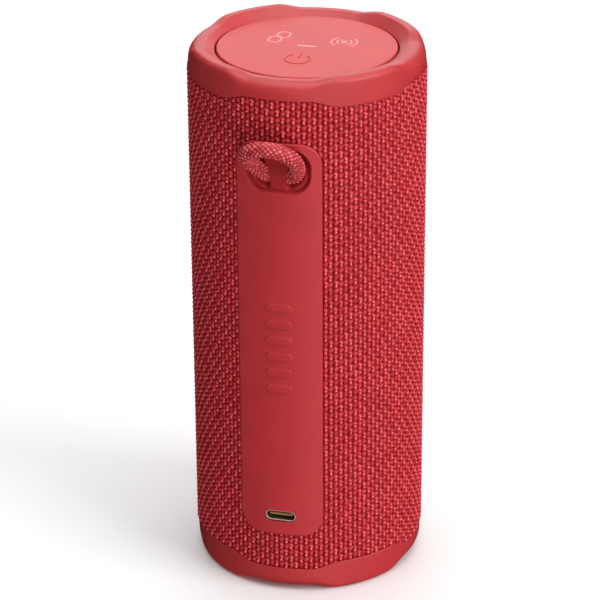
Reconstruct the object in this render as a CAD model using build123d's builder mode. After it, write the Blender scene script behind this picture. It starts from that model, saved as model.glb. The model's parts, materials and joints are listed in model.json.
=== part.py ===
"""A can-sized portable loudspeaker: a fabric-wrapped tube with lobed rubber ends.

Millimetres, +Z up.  The origin is the centre of the base plane.  -Y is the side with the
service strip (hang loop and charging port), +Y is the side with the play and volume keys.
The two full-range drivers and the two passive radiators fire along +X and -X.
"""
from build123d import *
from math import cos, pi, radians, sin, sqrt
import os

os.makedirs("parts", exist_ok=True)

# ---- driving dimensions ------------------------------------------------------------------
BODY_R = 34.0             # outside of the fabric
HEIGHT = 160.0            # over the highest lobes of both rubber ends
FABRIC_T = 0.95           # woven sleeve with its backing foam
TUBE_R = 33.0             # outside of the inner tube
TUBE_WALL = 2.4
GAP = 0.3                 # clearance round anything that moves
FIT = 0.05                # clearance between pieces that only rest in each other

# rubber ends: eight lobes of 45 degrees, low ones in line with the strip, high ones between
LOBES = 8
LOBE_ANGLE = 360 / LOBES
END_HOLE_R = 26.1         # the panel sits in this hole
PANEL_R = 25.6
PANEL_TOP = 158.0
PANEL_T = 1.6
BASE_PANEL_BOTTOM = 2.0
TOP_SEAT = 150.0          # the top end stands on the upper cap here
BASE_SEAT = 11.5          # the base end stands on the lower cap here
EDGE_R = 33.66            # rubber wall where it meets the fabric
# crest height, fabric edge, outer crest radius, outer rounding, inner crest radius, inner rounding
HIGH_LOBE_TOP = (HEIGHT, 152.0, 32.9, 1.5, 30.3, 0.9)
LOW_LOBE_TOP = (158.7, 153.7, 33.3, 3.6, 28.8, 1.5)
HIGH_LOBE_BASE = (0.0, 9.5, 32.9, 1.5, 30.3, 0.9)
LOW_LOBE_BASE = (1.4, 7.8, 33.3, 3.6, 28.8, 1.5)
LOBE_SLOPE = 2.4          # the inner slope falls this far from the high crest to the panel

# service strip
STRIP_R = 34.4
STRIP_HALF_WIDTH = 12.35
STRIP_BOTTOM = 19.2
STRIP_TOP = 141.8
STRIP_CORNER = 6.5
RIB_COUNT = 6
RIB_PITCH = 5.06
RIB_MID_Z = 79.55
RIB_LENGTH = 7.8
RIB_WIDTH = 2.6
RIB_PROUD = 0.3

# pocket, bridge and hang loop
POCKET_HALF_WIDTH = 9.0
POCKET_BOTTOM = 127.5
POCKET_TOP = 139.6
POCKET_CORNER = 4.0
POCKET_WALL = 1.2
POCKET_FLOOR_Y = -27.8
POCKET_BACK_Y = -26.2
LOOP_Y = -30.6            # the loop turns about a line along X through this point
LOOP_Z = 130.9
LOOP_TILT = 50.0          # plane of the loop above the horizontal
CORD_D = 4.2
BRIDGE_HALF_WIDTH = 2.3
BRIDGE_FRONT_Y = -34.1
BRIDGE_TOP = 134.0
TUNNEL_R = 2.75
CRIMP_R = 2.35
CRIMP_HALF_LENGTH = 1.0

# charging port
PORT_Z = 25.5
PORT_W = 9.0
PORT_H = 3.2
PORT_WALL = 0.3
PORT_FRONT_Y = -33.95
BOARD_BACK_Y = -25.6      # side of the main board that carries the port
BOARD_T = 1.4

# keys
KEY_TRAVEL = 0.5
TOP_KEY_R = 5.6
TOP_KEY_RING = 10.9       # distance of the three top keys from the axis
TOP_KEY_ANGLES = {"power_button": 270, "pairing_button": 150, "share_button": 30}
LIGHT_W = 5.4
LIGHT_T = 0.6
FRONT_KEY_PITCH = 15.0
FRONT_KEY_MID_Z = 112.0
FRONT_KEY_R = 34.75
FRONT_KEY_LONG = 11.0     # arms of the plus and the minus
FRONT_KEY_BROAD = 4.0
FRONT_KEY_CORNER = 1.2
PLAY_KEY_R = 5.6          # corners of the triangle
FRONT_KEY_GAP = 0.39      # round the front keys, in the fabric and the tube

# drivers (axial distances are measured outwards from the axis of the body)
DRIVER_Z = 112.0
DRIVER_FLANGE_R = 20.5
DRIVER_SEAT = 22.0
DRIVER_TRAVEL = 2.0
COIL_R = 6.7
DRIVER_SCREW_RING = 19.75
DRIVER_HEAD_SEAT = 20.4

# passive radiators
RADIATOR_Z = 54.0
RADIATOR_W = 34.0
RADIATOR_H = 54.0
RADIATOR_SEAT = 25.0

TUBE_INNER_R = TUBE_R - TUBE_WALL
TUBE_BOTTOM = 13.5
TUBE_TOP = 148.0
SIDES = {"right": 1, "left": -1}


def save(piece, name):
    """Label a finished piece and write its STEP file."""
    piece.part.label = name
    export_step(piece.part, f"parts/{name}.step")


def turned_plane(angle):
    """Upright plane through the body's axis: local x points outwards at this angle."""
    a = radians(angle)
    return Plane(origin=(0, 0, 0), x_dir=(cos(a), sin(a), 0), z_dir=(sin(a), -cos(a), 0))


def side_plane(side, height):
    """Upright plane along X at a height: local x points outwards, local y points up."""
    return Plane(origin=(0, 0, height), x_dir=(side, 0, 0), z_dir=(0, -side, 0))


def facing_plane(side, out, height):
    """Plane facing outwards along X at a distance from the axis: local y points up."""
    return Plane(origin=(side * out, 0, height), x_dir=(0, side, 0), z_dir=(side, 0, 0))


def lobe_start(index):
    """Angle where lobe number index begins; lobe 0 is centred on the service strip."""
    return 270 - LOBE_ANGLE / 2 + index * LOBE_ANGLE


# ---- rubber ends ---------------------------------------------------------------------------
def lobed_end(high, low, seat, inwards):
    """Ring made of alternating low and high lobes; inwards is -1 at the top, +1 at the base."""
    with BuildPart() as ring:
        for index in range(LOBES):
            crest, edge, out_r, out_fillet, in_r, in_fillet = high if index % 2 else low
            slope_foot = high[0] + inwards * LOBE_SLOPE
            with BuildSketch(turned_plane(lobe_start(index))) as section:
                with BuildLine():
                    Polyline(
                        (END_HOLE_R, seat), (TUBE_R, seat), (TUBE_R, edge), (EDGE_R, edge),
                        (out_r, crest), (in_r, crest), (END_HOLE_R, slope_foot), close=True)
                make_face()
                crest_corners = section.vertices().group_by(Axis.Y)[-1 if inwards < 0 else 0]
                crest_corners = crest_corners.sort_by(Axis.X)
                fillet(crest_corners[-1], radius=out_fillet)
                fillet(section.vertices().sort_by_distance((in_r, crest))[0], radius=in_fillet)
            revolve(axis=Axis.Z, revolution_arc=LOBE_ANGLE)
    return ring


top_bumper = lobed_end(HIGH_LOBE_TOP, LOW_LOBE_TOP, TOP_SEAT, -1)
save(top_bumper, "top_bumper")

bottom_bumper = lobed_end(HIGH_LOBE_BASE, LOW_LOBE_BASE, BASE_SEAT, 1)
save(bottom_bumper, "bottom_bumper")


# ---- front keys: plus, play and minus --------------------------------------------------------
def front_key_shape(name, grow):
    """Outline of a front key in the open sketch, grown all round for its hole."""
    long = FRONT_KEY_LONG + 2 * grow
    broad = FRONT_KEY_BROAD + 2 * grow
    if name == "volume_up_button":
        RectangleRounded(long, broad, FRONT_KEY_CORNER)
        RectangleRounded(broad, long, FRONT_KEY_CORNER)
    elif name == "volume_down_button":
        RectangleRounded(long, broad, FRONT_KEY_CORNER)
    else:
        RegularPolygon(radius=PLAY_KEY_R + 2 * grow, side_count=3)


FRONT_KEYS = {
    "volume_up_button": FRONT_KEY_MID_Z + FRONT_KEY_PITCH,
    "play_button": FRONT_KEY_MID_Z,
    "volume_down_button": FRONT_KEY_MID_Z - FRONT_KEY_PITCH,
}


def front_plane(out, height):
    """Plane facing +Y, out from the axis: local x points to -X, local y points up."""
    return Plane(origin=(0, out, height), x_dir=(-1, 0, 0), z_dir=(0, 1, 0))


def strip_plane(out):
    """Plane facing -Y, out from the axis, at the height of the base."""
    return Plane(origin=(0, -out, 0), x_dir=(1, 0, 0), z_dir=(0, -1, 0))


FRONT_FLANGE_Y = 28.4
FRONT_FLANGE_T = 1.2
FRONT_FLANGE_R = 6.2
FRONT_STEM_END_Y = 26.6
FRONT_STEM_R = 1.2
for key_name, key_z in FRONT_KEYS.items():
    with BuildPart() as front_key:
        with BuildSketch(front_plane(FRONT_FLANGE_Y, key_z)):
            front_key_shape(key_name, 0)
        extrude(amount=BODY_R)
        with BuildSketch():
            Circle(FRONT_KEY_R)
        extrude(amount=HEIGHT, mode=Mode.INTERSECT)
        with BuildSketch(front_plane(FRONT_FLANGE_Y - FRONT_FLANGE_T, key_z)):
            Circle(FRONT_FLANGE_R)
        extrude(amount=FRONT_FLANGE_T)
        with BuildSketch(front_plane(FRONT_STEM_END_Y, key_z)):
            Circle(FRONT_STEM_R)
        extrude(amount=FRONT_FLANGE_Y - FRONT_FLANGE_T - FRONT_STEM_END_Y)
    save(front_key, key_name)

# ---- fabric sleeve ---------------------------------------------------------------------------
with BuildPart() as fabric_sleeve:
    for lobe in range(LOBES):
        top_edge = (HIGH_LOBE_TOP if lobe % 2 else LOW_LOBE_TOP)[1] - FIT
        base_edge = (HIGH_LOBE_BASE if lobe % 2 else LOW_LOBE_BASE)[1] + FIT
        with BuildSketch(turned_plane(lobe_start(lobe))):
            with BuildLine():
                Polyline(
                    (BODY_R - FABRIC_T, base_edge), (BODY_R, base_edge),
                    (BODY_R, top_edge), (BODY_R - FABRIC_T, top_edge), close=True)
            make_face()
        revolve(axis=Axis.Z, revolution_arc=LOBE_ANGLE)
    with BuildSketch(strip_plane(0)):
        with Locations((0, (STRIP_TOP + STRIP_BOTTOM) / 2)):
            RectangleRounded(
                2 * STRIP_HALF_WIDTH + GAP, STRIP_TOP - STRIP_BOTTOM + GAP, STRIP_CORNER)
    extrude(amount=2 * BODY_R, mode=Mode.SUBTRACT)
    for key_name, key_z in FRONT_KEYS.items():
        with BuildSketch(front_plane(0, key_z)):
            front_key_shape(key_name, FRONT_KEY_GAP)
        extrude(amount=2 * BODY_R, mode=Mode.SUBTRACT)
save(fabric_sleeve, "fabric_sleeve")

# ---- service strip ---------------------------------------------------------------------------
with BuildPart() as rear_strip:
    with BuildSketch(strip_plane(BODY_R / 2)):
        with Locations((0, (STRIP_TOP + STRIP_BOTTOM) / 2)):
            RectangleRounded(2 * STRIP_HALF_WIDTH, STRIP_TOP - STRIP_BOTTOM, STRIP_CORNER)
    extrude(amount=BODY_R)
    with BuildSketch():
        Circle(STRIP_R)
        Circle(TUBE_R + FIT, mode=Mode.SUBTRACT)
    extrude(amount=HEIGHT, mode=Mode.INTERSECT)
    with BuildSketch(strip_plane(BODY_R / 2)):
        with Locations((0, (POCKET_TOP + POCKET_BOTTOM) / 2)):
            RectangleRounded(2 * POCKET_HALF_WIDTH, POCKET_TOP - POCKET_BOTTOM, POCKET_CORNER)
        with Locations((0, PORT_Z)):
            SlotOverall(PORT_W + GAP, PORT_H + GAP)
    extrude(amount=BODY_R, mode=Mode.SUBTRACT)
save(rear_strip, "rear_strip")

# six low pills that stand on the strip's face as a finger grip
with BuildPart() as grip_ribs:
    with BuildSketch(strip_plane(BODY_R / 2)):
        with Locations((0, RIB_MID_Z)):
            with GridLocations(0, RIB_PITCH, 1, RIB_COUNT):
                SlotOverall(RIB_LENGTH, RIB_WIDTH)
    extrude(amount=BODY_R)
    with BuildSketch():
        Circle(STRIP_R + RIB_PROUD)
        Circle(STRIP_R, mode=Mode.SUBTRACT)
    extrude(amount=HEIGHT, mode=Mode.INTERSECT)
save(grip_ribs, "grip_ribs")

# ---- pocket and bridge behind the strip's opening ------------------------------------------------
with BuildPart() as loop_pocket:
    with BuildSketch(strip_plane(-POCKET_BACK_Y)):
        with Locations((0, (POCKET_TOP + POCKET_BOTTOM) / 2)):
            RectangleRounded(
                2 * (POCKET_HALF_WIDTH + POCKET_WALL),
                POCKET_TOP - POCKET_BOTTOM + 2 * POCKET_WALL, POCKET_CORNER + POCKET_WALL)
    extrude(amount=BODY_R)
    with BuildSketch(strip_plane(-POCKET_FLOOR_Y)):
        with Locations((0, (POCKET_TOP + POCKET_BOTTOM) / 2)):
            RectangleRounded(2 * POCKET_HALF_WIDTH, POCKET_TOP - POCKET_BOTTOM, POCKET_CORNER)
    extrude(amount=BODY_R, mode=Mode.SUBTRACT)
    with BuildSketch(Plane.XY.offset(POCKET_BOTTOM - POCKET_WALL)):
        Circle(TUBE_R)
    extrude(amount=POCKET_TOP - POCKET_BOTTOM + 2 * POCKET_WALL, mode=Mode.INTERSECT)
    with BuildSketch(Plane.YZ.offset(-BRIDGE_HALF_WIDTH)):
        with Locations((BRIDGE_FRONT_Y, POCKET_BOTTOM)):
            Rectangle(
                POCKET_FLOOR_Y - BRIDGE_FRONT_Y, BRIDGE_TOP - POCKET_BOTTOM,
                align=(Align.MIN, Align.MIN))
    extrude(amount=2 * BRIDGE_HALF_WIDTH)
    with BuildSketch(Plane.YZ.offset(-POCKET_HALF_WIDTH)):
        with Locations((LOOP_Y, LOOP_Z)):
            Circle(TUNNEL_R)
    extrude(amount=2 * POCKET_HALF_WIDTH, mode=Mode.SUBTRACT)
save(loop_pocket, "loop_pocket")

# ---- hang loop: a short braided cord with its ends in a crimp inside the bridge -------------------
LOOP_PLANE = Plane(
    origin=(0, LOOP_Y, LOOP_Z), x_dir=(1, 0, 0),
    z_dir=(0, -sin(radians(LOOP_TILT)), -cos(radians(LOOP_TILT))))
# corners of the route in the loop's own plane: along X, then outwards from the turning line
LOOP_CORNERS = [
    (-CRIMP_HALF_LENGTH, 0), (-3.8, 0), (-5.4, 2.4), (-8.7, 9.2), (-6.2, 13.3), (-0.8, 14.9),
    (3.8, 13.0), (6.1, 8.4), (5.4, 2.4), (3.8, 0), (CRIMP_HALF_LENGTH, 0)]


def loop_radii(corners):
    """Fillet radius at each inner corner: 0.45 of its shorter run over the tangent of half its turn."""
    radii = []
    for before, here, after in zip(corners, corners[1:], corners[2:]):
        run_in = Vector(*here) - Vector(*before)
        run_out = Vector(*after) - Vector(*here)
        turn = radians(run_in.get_angle(run_out))
        radii.append(0.45 * min(run_in.length, run_out.length) * (1 + cos(turn)) / sin(turn))
    return radii


LOOP_RADII = loop_radii(LOOP_CORNERS)
print("hang loop radii:", [round(r, 2) for r in LOOP_RADII])
with BuildPart() as hang_loop:
    with BuildLine(LOOP_PLANE) as loop_route:
        FilletPolyline(*LOOP_CORNERS, radius=LOOP_RADII)
    with BuildSketch(Plane(origin=loop_route.line @ 0, z_dir=loop_route.line % 0)):
        Circle(CORD_D / 2)
    sweep(path=loop_route.line)
LOOP_LENGTH = loop_route.wires()[0].length
print("hang loop length:", round(LOOP_LENGTH, 2), "volume over section times length:",
      round(hang_loop.part.volume / (pi * CORD_D ** 2 / 4 * LOOP_LENGTH), 4))
save(hang_loop, "hang_loop")

with BuildPart() as loop_crimp:
    with BuildSketch(Plane.YZ.offset(-CRIMP_HALF_LENGTH)):
        with Locations((LOOP_Y, LOOP_Z)):
            Circle(CRIMP_R)
    extrude(amount=2 * CRIMP_HALF_LENGTH)
save(loop_crimp, "loop_crimp")

# ---- charging port --------------------------------------------------------------------------------
PORT_DEPTH = BOARD_BACK_Y - PORT_FRONT_Y
PORT_PLUG = 1.4           # the moulding that closes the shell's back end
TONGUE_W = 6.7
TONGUE_T = 0.7
TONGUE_BEHIND = 0.9       # the tongue ends this far inside the shell's mouth
CONTACTS_BEHIND = 1.6
CONTACT_COUNT = 12
CONTACT_PITCH = 0.5
CONTACT_W = 0.26
CONTACT_T = 0.1
with BuildPart() as usb_shell:
    with BuildSketch(strip_plane(-BOARD_BACK_Y)):
        with Locations((0, PORT_Z)):
            SlotOverall(PORT_W, PORT_H)
            SlotOverall(PORT_W - 2 * PORT_WALL, PORT_H - 2 * PORT_WALL, mode=Mode.SUBTRACT)
    extrude(amount=PORT_DEPTH)
save(usb_shell, "usb_shell")

with BuildPart() as usb_tongue:
    with BuildSketch(strip_plane(-BOARD_BACK_Y)):
        with Locations((0, PORT_Z)):
            SlotOverall(PORT_W - 2 * PORT_WALL - 2 * FIT, PORT_H - 2 * PORT_WALL - 2 * FIT)
    extrude(amount=PORT_PLUG)
    with BuildSketch(strip_plane(-BOARD_BACK_Y)):
        with Locations((0, PORT_Z)):
            Rectangle(TONGUE_W, TONGUE_T)
    extrude(amount=PORT_DEPTH - TONGUE_BEHIND)
save(usb_tongue, "usb_tongue")

with BuildPart() as usb_contacts:
    with BuildSketch(strip_plane(-BOARD_BACK_Y + PORT_PLUG)):
        with Locations((0, PORT_Z)):
            with GridLocations(CONTACT_PITCH, TONGUE_T + CONTACT_T, CONTACT_COUNT, 2):
                Rectangle(CONTACT_W, CONTACT_T)
    extrude(amount=PORT_DEPTH - PORT_PLUG - CONTACTS_BEHIND)
save(usb_contacts, "usb_contacts")

# ---- inner tube: acoustic enclosure ------------------------------------------------------------------
WINDOW_ROW = 5.2
WINDOW_SLOT_H = 3.4
BOSS_RING = 27.4
BOSS_R = 3.6
BOSS_LENGTH = 8.0
CAP_PLUG = 4.0
BOARD_POSTS = [(x, z) for x in (-13.0, 13.0) for z in (33.0, 88.0)]
BOARD_POST_R = 2.4
SCREW_R = 0.8
SCREW_HEAD_R = 1.6
SCREW_HEAD_T = 0.9
SCREW_HOLE_R = 0.85       # where a screw bites
SCREW_CLEAR_R = 1.0       # where it passes through
CAP_SCREW_R = 1.0
CAP_SCREW_HOLE_R = 1.1
WINDOW_MARGIN = 2.6       # from a driver's rim to the ends of the slots in front of it
WINDOW_ROWS = 7
RADIATOR_ROWS = 8


def racetrack(width, height):
    """Upright racetrack outline in the open sketch."""
    SlotOverall(height, width, rotation=90)


with BuildPart() as enclosure_tube:
    for side in SIDES.values():
        with BuildSketch(facing_plane(side, DRIVER_SEAT, DRIVER_Z)):
            Circle(DRIVER_FLANGE_R + 0.4)
            Circle(DRIVER_FLANGE_R - 2.2, mode=Mode.SUBTRACT)
        extrude(amount=TUBE_R)
        with BuildSketch(facing_plane(side, RADIATOR_SEAT, RADIATOR_Z)):
            racetrack(RADIATOR_W, RADIATOR_H)
            offset(amount=-2.0, mode=Mode.SUBTRACT)
        extrude(amount=TUBE_R)
    with BuildSketch(Plane.XY.offset(TUBE_BOTTOM)):
        with PolarLocations(BOSS_RING, 4, 45):
            Circle(BOSS_R)
    extrude(amount=CAP_PLUG + BOSS_LENGTH)
    with BuildSketch(Plane.XY.offset(TUBE_TOP - CAP_PLUG - BOSS_LENGTH)):
        with PolarLocations(BOSS_RING, 4, 45):
            Circle(BOSS_R)
    extrude(amount=BOSS_LENGTH + CAP_PLUG)
    with BuildSketch(strip_plane(-BOARD_BACK_Y)):
        with Locations(*BOARD_POSTS):
            Circle(BOARD_POST_R)
    extrude(amount=TUBE_R)
    with BuildSketch(Plane.XY.offset(TUBE_BOTTOM)):
        Circle(TUBE_INNER_R + 0.6)
    extrude(amount=TUBE_TOP - TUBE_BOTTOM, mode=Mode.INTERSECT)
    for cap_seat in (TUBE_BOTTOM, TUBE_TOP - CAP_PLUG):
        with BuildSketch(Plane.XY.offset(cap_seat)):
            Circle(TUBE_INNER_R)
        extrude(amount=CAP_PLUG, mode=Mode.SUBTRACT)
    with BuildSketch(Plane.XY.offset(TUBE_BOTTOM)):
        Circle(TUBE_R)
        Circle(TUBE_INNER_R, mode=Mode.SUBTRACT)
    extrude(amount=TUBE_TOP - TUBE_BOTTOM)
    for row in range(WINDOW_ROWS):
        row_rise = (row - WINDOW_ROWS // 2) * WINDOW_ROW
        chord = 2 * sqrt((DRIVER_FLANGE_R - WINDOW_MARGIN) ** 2 - row_rise ** 2)
        with BuildSketch(Plane.YZ):
            with Locations((0, DRIVER_Z + row_rise)):
                SlotOverall(chord, WINDOW_SLOT_H)
        extrude(amount=BODY_R, both=True, mode=Mode.SUBTRACT)
    with BuildSketch(Plane.YZ):
        with Locations((0, RADIATOR_Z)):
            with GridLocations(0, WINDOW_ROW, 1, RADIATOR_ROWS):
                SlotOverall(RADIATOR_W - 10, WINDOW_SLOT_H)
    extrude(amount=BODY_R, both=True, mode=Mode.SUBTRACT)
    with BuildSketch(strip_plane(BODY_R / 2)):
        with Locations((0, (POCKET_TOP + POCKET_BOTTOM) / 2)):
            RectangleRounded(
                2 * (POCKET_HALF_WIDTH + POCKET_WALL + FIT),
                POCKET_TOP - POCKET_BOTTOM + 2 * (POCKET_WALL + FIT), POCKET_CORNER + POCKET_WALL)
        with Locations((0, PORT_Z)):
            SlotOverall(PORT_W + GAP, PORT_H + GAP)
    extrude(amount=BODY_R, mode=Mode.SUBTRACT)
    for key_name, key_z in FRONT_KEYS.items():
        with BuildSketch(front_plane(0, key_z)):
            front_key_shape(key_name, FRONT_KEY_GAP)
        extrude(amount=2 * BODY_R, mode=Mode.SUBTRACT)
    for boss_end in (TUBE_BOTTOM, TUBE_TOP - CAP_PLUG - BOSS_LENGTH - 1):
        with BuildSketch(Plane.XY.offset(boss_end)):
            with PolarLocations(BOSS_RING, 4, 45):
                Circle(CAP_SCREW_HOLE_R)
        extrude(amount=BOSS_LENGTH + CAP_PLUG + 1, mode=Mode.SUBTRACT)
    with BuildSketch(strip_plane(-BOARD_BACK_Y)):
        with Locations(*BOARD_POSTS):
            Circle(SCREW_HOLE_R)
    extrude(amount=4, mode=Mode.SUBTRACT)
    for side in SIDES.values():
        with BuildSketch(facing_plane(side, DRIVER_SEAT, DRIVER_Z)):
            with PolarLocations(DRIVER_SCREW_RING, 4, 45):
                Circle(SCREW_HOLE_R)
        extrude(amount=4.2, mode=Mode.SUBTRACT)
save(enclosure_tube, "enclosure_tube")

# ---- end caps and their seals ---------------------------------------------------------------------
SEAL_DEPTH = 1.2
SEAL_HEIGHT = 1.4
KEY_POST_RING = 20.5
KEY_POST_R = 1.9
KEY_BOARD_BOTTOM = 150.8


def end_cap(seat, flange_face):
    """Disc with a flange on the tube's end and a plug inside it; seat is the tube's end plane."""
    outwards = 1 if flange_face > seat else -1
    plug_z = min(seat, seat - outwards * CAP_PLUG)
    groove_z = seat - outwards * CAP_PLUG / 2 - SEAL_HEIGHT / 2
    with BuildPart() as cap:
        with BuildSketch(Plane.XY.offset(min(seat, flange_face))):
            Circle(TUBE_R)
        extrude(amount=abs(flange_face - seat))
        with BuildSketch(Plane.XY.offset(plug_z)):
            Circle(TUBE_INNER_R - FIT)
        extrude(amount=CAP_PLUG)
        with BuildSketch(Plane.XY.offset(groove_z)):
            Circle(TUBE_R)
            Circle(TUBE_INNER_R - SEAL_DEPTH, mode=Mode.SUBTRACT)
        extrude(amount=SEAL_HEIGHT, mode=Mode.SUBTRACT)
        with BuildSketch(Plane.XY.offset(plug_z - 3)):
            with PolarLocations(BOSS_RING, 4, 45):
                Circle(CAP_SCREW_HOLE_R + 0.2)
        extrude(amount=CAP_PLUG + 8, mode=Mode.SUBTRACT)
    return cap


lower_cap = end_cap(TUBE_BOTTOM, BASE_SEAT)
save(lower_cap, "lower_cap")

upper_cap = end_cap(TUBE_TOP, TOP_SEAT)
with BuildPart() as upper_cap_with_posts:
    add(upper_cap.part)
    with BuildSketch(Plane.XY.offset(TOP_SEAT)):
        with PolarLocations(KEY_POST_RING, 3, 90):
            Circle(KEY_POST_R)
    extrude(amount=KEY_BOARD_BOTTOM - TOP_SEAT)
    with BuildSketch(Plane.XY.offset(TOP_SEAT - 4)):
        with PolarLocations(KEY_POST_RING, 3, 90):
            Circle(SCREW_HOLE_R)
    extrude(amount=6, mode=Mode.SUBTRACT)
save(upper_cap_with_posts, "upper_cap")

with BuildPart() as cap_seals:
    for seal_z in (TUBE_BOTTOM + CAP_PLUG / 2, TUBE_TOP - CAP_PLUG / 2):
        with BuildSketch(Plane.XY.offset(seal_z - SEAL_HEIGHT / 2)):
            Circle(TUBE_INNER_R)
            Circle(TUBE_INNER_R - SEAL_DEPTH, mode=Mode.SUBTRACT)
        extrude(amount=SEAL_HEIGHT)
save(cap_seals, "cap_seals")

# ---- end panels -------------------------------------------------------------------------------------
PANEL_SKIRT = 1.6
KEY_FLANGE_R = 6.5
with BuildPart() as top_panel:
    with BuildSketch(Plane.XY.offset(PANEL_TOP - PANEL_T)):
        Circle(PANEL_R)
        with PolarLocations(TOP_KEY_RING, 3, 30):
            Circle(TOP_KEY_R + GAP, mode=Mode.SUBTRACT)
        Rectangle(LIGHT_W + 2 * FIT, LIGHT_T + 2 * FIT, mode=Mode.SUBTRACT)
    extrude(amount=PANEL_T)
    with BuildSketch(Plane.XY.offset(TOP_SEAT)):
        Circle(PANEL_R)
        Circle(PANEL_R - PANEL_SKIRT, mode=Mode.SUBTRACT)
    extrude(amount=PANEL_TOP - PANEL_T - TOP_SEAT)
save(top_panel, "top_panel")

with BuildPart() as base_panel:
    with BuildSketch(Plane.XY.offset(BASE_PANEL_BOTTOM)):
        Circle(PANEL_R)
    extrude(amount=PANEL_T)
    with BuildSketch(Plane.XY.offset(BASE_PANEL_BOTTOM + PANEL_T)):
        Circle(PANEL_R)
        Circle(PANEL_R - PANEL_SKIRT, mode=Mode.SUBTRACT)
    extrude(amount=BASE_SEAT - BASE_PANEL_BOTTOM - PANEL_T)
save(base_panel, "base_panel")

# ---- top keys, their switches and the status light ---------------------------------------------------
KEY_BOARD_T = 1.2
SWITCH_SIDE = 6.0
SWITCH_TOP = 153.9
KEY_FLANGE_TOP = PANEL_TOP - PANEL_T - GAP
KEY_FLANGE_T = 0.9
KEY_FLANGE_BOTTOM = KEY_FLANGE_TOP - KEY_FLANGE_T
KEY_STEM_R = 1.5
for key_name, key_angle in TOP_KEY_ANGLES.items():
    key_x = TOP_KEY_RING * cos(radians(key_angle))
    key_y = TOP_KEY_RING * sin(radians(key_angle))
    with BuildPart() as top_key:
        with BuildSketch(Plane.XY.offset(KEY_FLANGE_TOP)):
            with Locations((key_x, key_y)):
                Circle(TOP_KEY_R)
        extrude(amount=PANEL_TOP - KEY_FLANGE_TOP)
        with BuildSketch(Plane.XY.offset(KEY_FLANGE_BOTTOM)):
            with Locations((key_x, key_y)):
                Circle(KEY_FLANGE_R)
        extrude(amount=KEY_FLANGE_TOP - KEY_FLANGE_BOTTOM)
        with BuildSketch(Plane.XY.offset(SWITCH_TOP + KEY_TRAVEL + FIT)):
            with Locations((key_x, key_y)):
                Circle(KEY_STEM_R)
        extrude(amount=KEY_FLANGE_BOTTOM - SWITCH_TOP - KEY_TRAVEL - FIT)
    save(top_key, key_name)

KEY_BOARD_TOP = KEY_BOARD_BOTTOM + KEY_BOARD_T
KEY_BOARD_GAP = 0.5
with BuildPart() as key_board:
    with BuildSketch(Plane.XY.offset(KEY_BOARD_BOTTOM)):
        Circle(PANEL_R - PANEL_SKIRT - KEY_BOARD_GAP)
        with PolarLocations(KEY_POST_RING, 3, 90):
            Circle(SCREW_CLEAR_R, mode=Mode.SUBTRACT)
    extrude(amount=KEY_BOARD_T)
save(key_board, "key_board")

with BuildPart() as key_switches:
    with BuildSketch(Plane.XY.offset(KEY_BOARD_TOP)):
        with PolarLocations(TOP_KEY_RING, 3, 30):
            RectangleRounded(SWITCH_SIDE, SWITCH_SIDE, 0.6)
    extrude(amount=SWITCH_TOP - KEY_BOARD_TOP)
save(key_switches, "key_switches")

STATUS_LED_W = 3.0
STATUS_LED_D = 1.4
STATUS_LED_TOP = KEY_BOARD_TOP + 0.8
with BuildPart() as status_led:
    with BuildSketch(Plane.XY.offset(KEY_BOARD_TOP)):
        Rectangle(STATUS_LED_W, STATUS_LED_D)
    extrude(amount=STATUS_LED_TOP - KEY_BOARD_TOP)
save(status_led, "status_led")

with BuildPart() as status_light:
    with BuildSketch(Plane.XY.offset(STATUS_LED_TOP)):
        Rectangle(LIGHT_W, LIGHT_T)
    extrude(amount=PANEL_TOP - STATUS_LED_TOP)
save(status_light, "status_light")

# ---- board behind the front keys --------------------------------------------------------------------
FRONT_BOARD_Y = 23.2
FRONT_BOARD_T = 1.2
FRONT_BOARD_W = 18.0
FRONT_BOARD_H = 44.0
FRONT_SWITCH_SIDE = 5.0
FRONT_SWITCH_TOP_Y = 26.0
with BuildPart() as front_key_board:
    with BuildSketch(front_plane(FRONT_BOARD_Y, FRONT_KEY_MID_Z)):
        RectangleRounded(FRONT_BOARD_W, FRONT_BOARD_H, 2)
    extrude(amount=FRONT_BOARD_T)
save(front_key_board, "front_key_board")

with BuildPart() as front_switches:
    with BuildSketch(front_plane(FRONT_BOARD_Y + FRONT_BOARD_T, FRONT_KEY_MID_Z)):
        with GridLocations(0, FRONT_KEY_PITCH, 1, 3):
            RectangleRounded(FRONT_SWITCH_SIDE, FRONT_SWITCH_SIDE, 0.5)
    extrude(amount=FRONT_SWITCH_TOP_Y - FRONT_BOARD_Y - FRONT_BOARD_T)
save(front_switches, "front_switches")

# ---- full-range drivers -------------------------------------------------------------------------------
YOKE_BACK = 1.0
YOKE_PLATE_TOP = 3.2
MAGNET_TOP = 7.2
GAP_PLATE_TOP = 9.4
POLE_R = 6.2
MAGNET_BORE_R = 8.4
GAP_PLATE_BORE_R = 7.6
MOTOR_R = 13.6
COIL_BACK = 5.6
COIL_FRONT = 10.6
WINDING_T = 0.45
FORMER_T = 0.2
SPIDER_R = 15.0
CONE_TOP = 21.6
CONE_FOOT = 13.4
CONE_R = 14.6
SURROUND_T = 0.4
ROLL_OUTER_R = 18.0
SURROUND_R = 18.6
DOME_FOOT = 14.0
DOME_RISE = 2.6
DOME_T = 0.4
DOME_R = (COIL_R ** 2 + DOME_RISE ** 2) / (2 * DOME_RISE)
DOME_CENTRE = DOME_FOOT + DOME_RISE - DOME_R


def spun(side, points):
    """Solid of revolution about a driver's axis from (axial, radial) corners."""
    with BuildPart() as solid:
        with BuildSketch(side_plane(side, DRIVER_Z)):
            with BuildLine():
                Polyline(*points, close=True)
            make_face()
        revolve(axis=Axis((0, 0, DRIVER_Z), (1, 0, 0)))
    return solid


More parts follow.
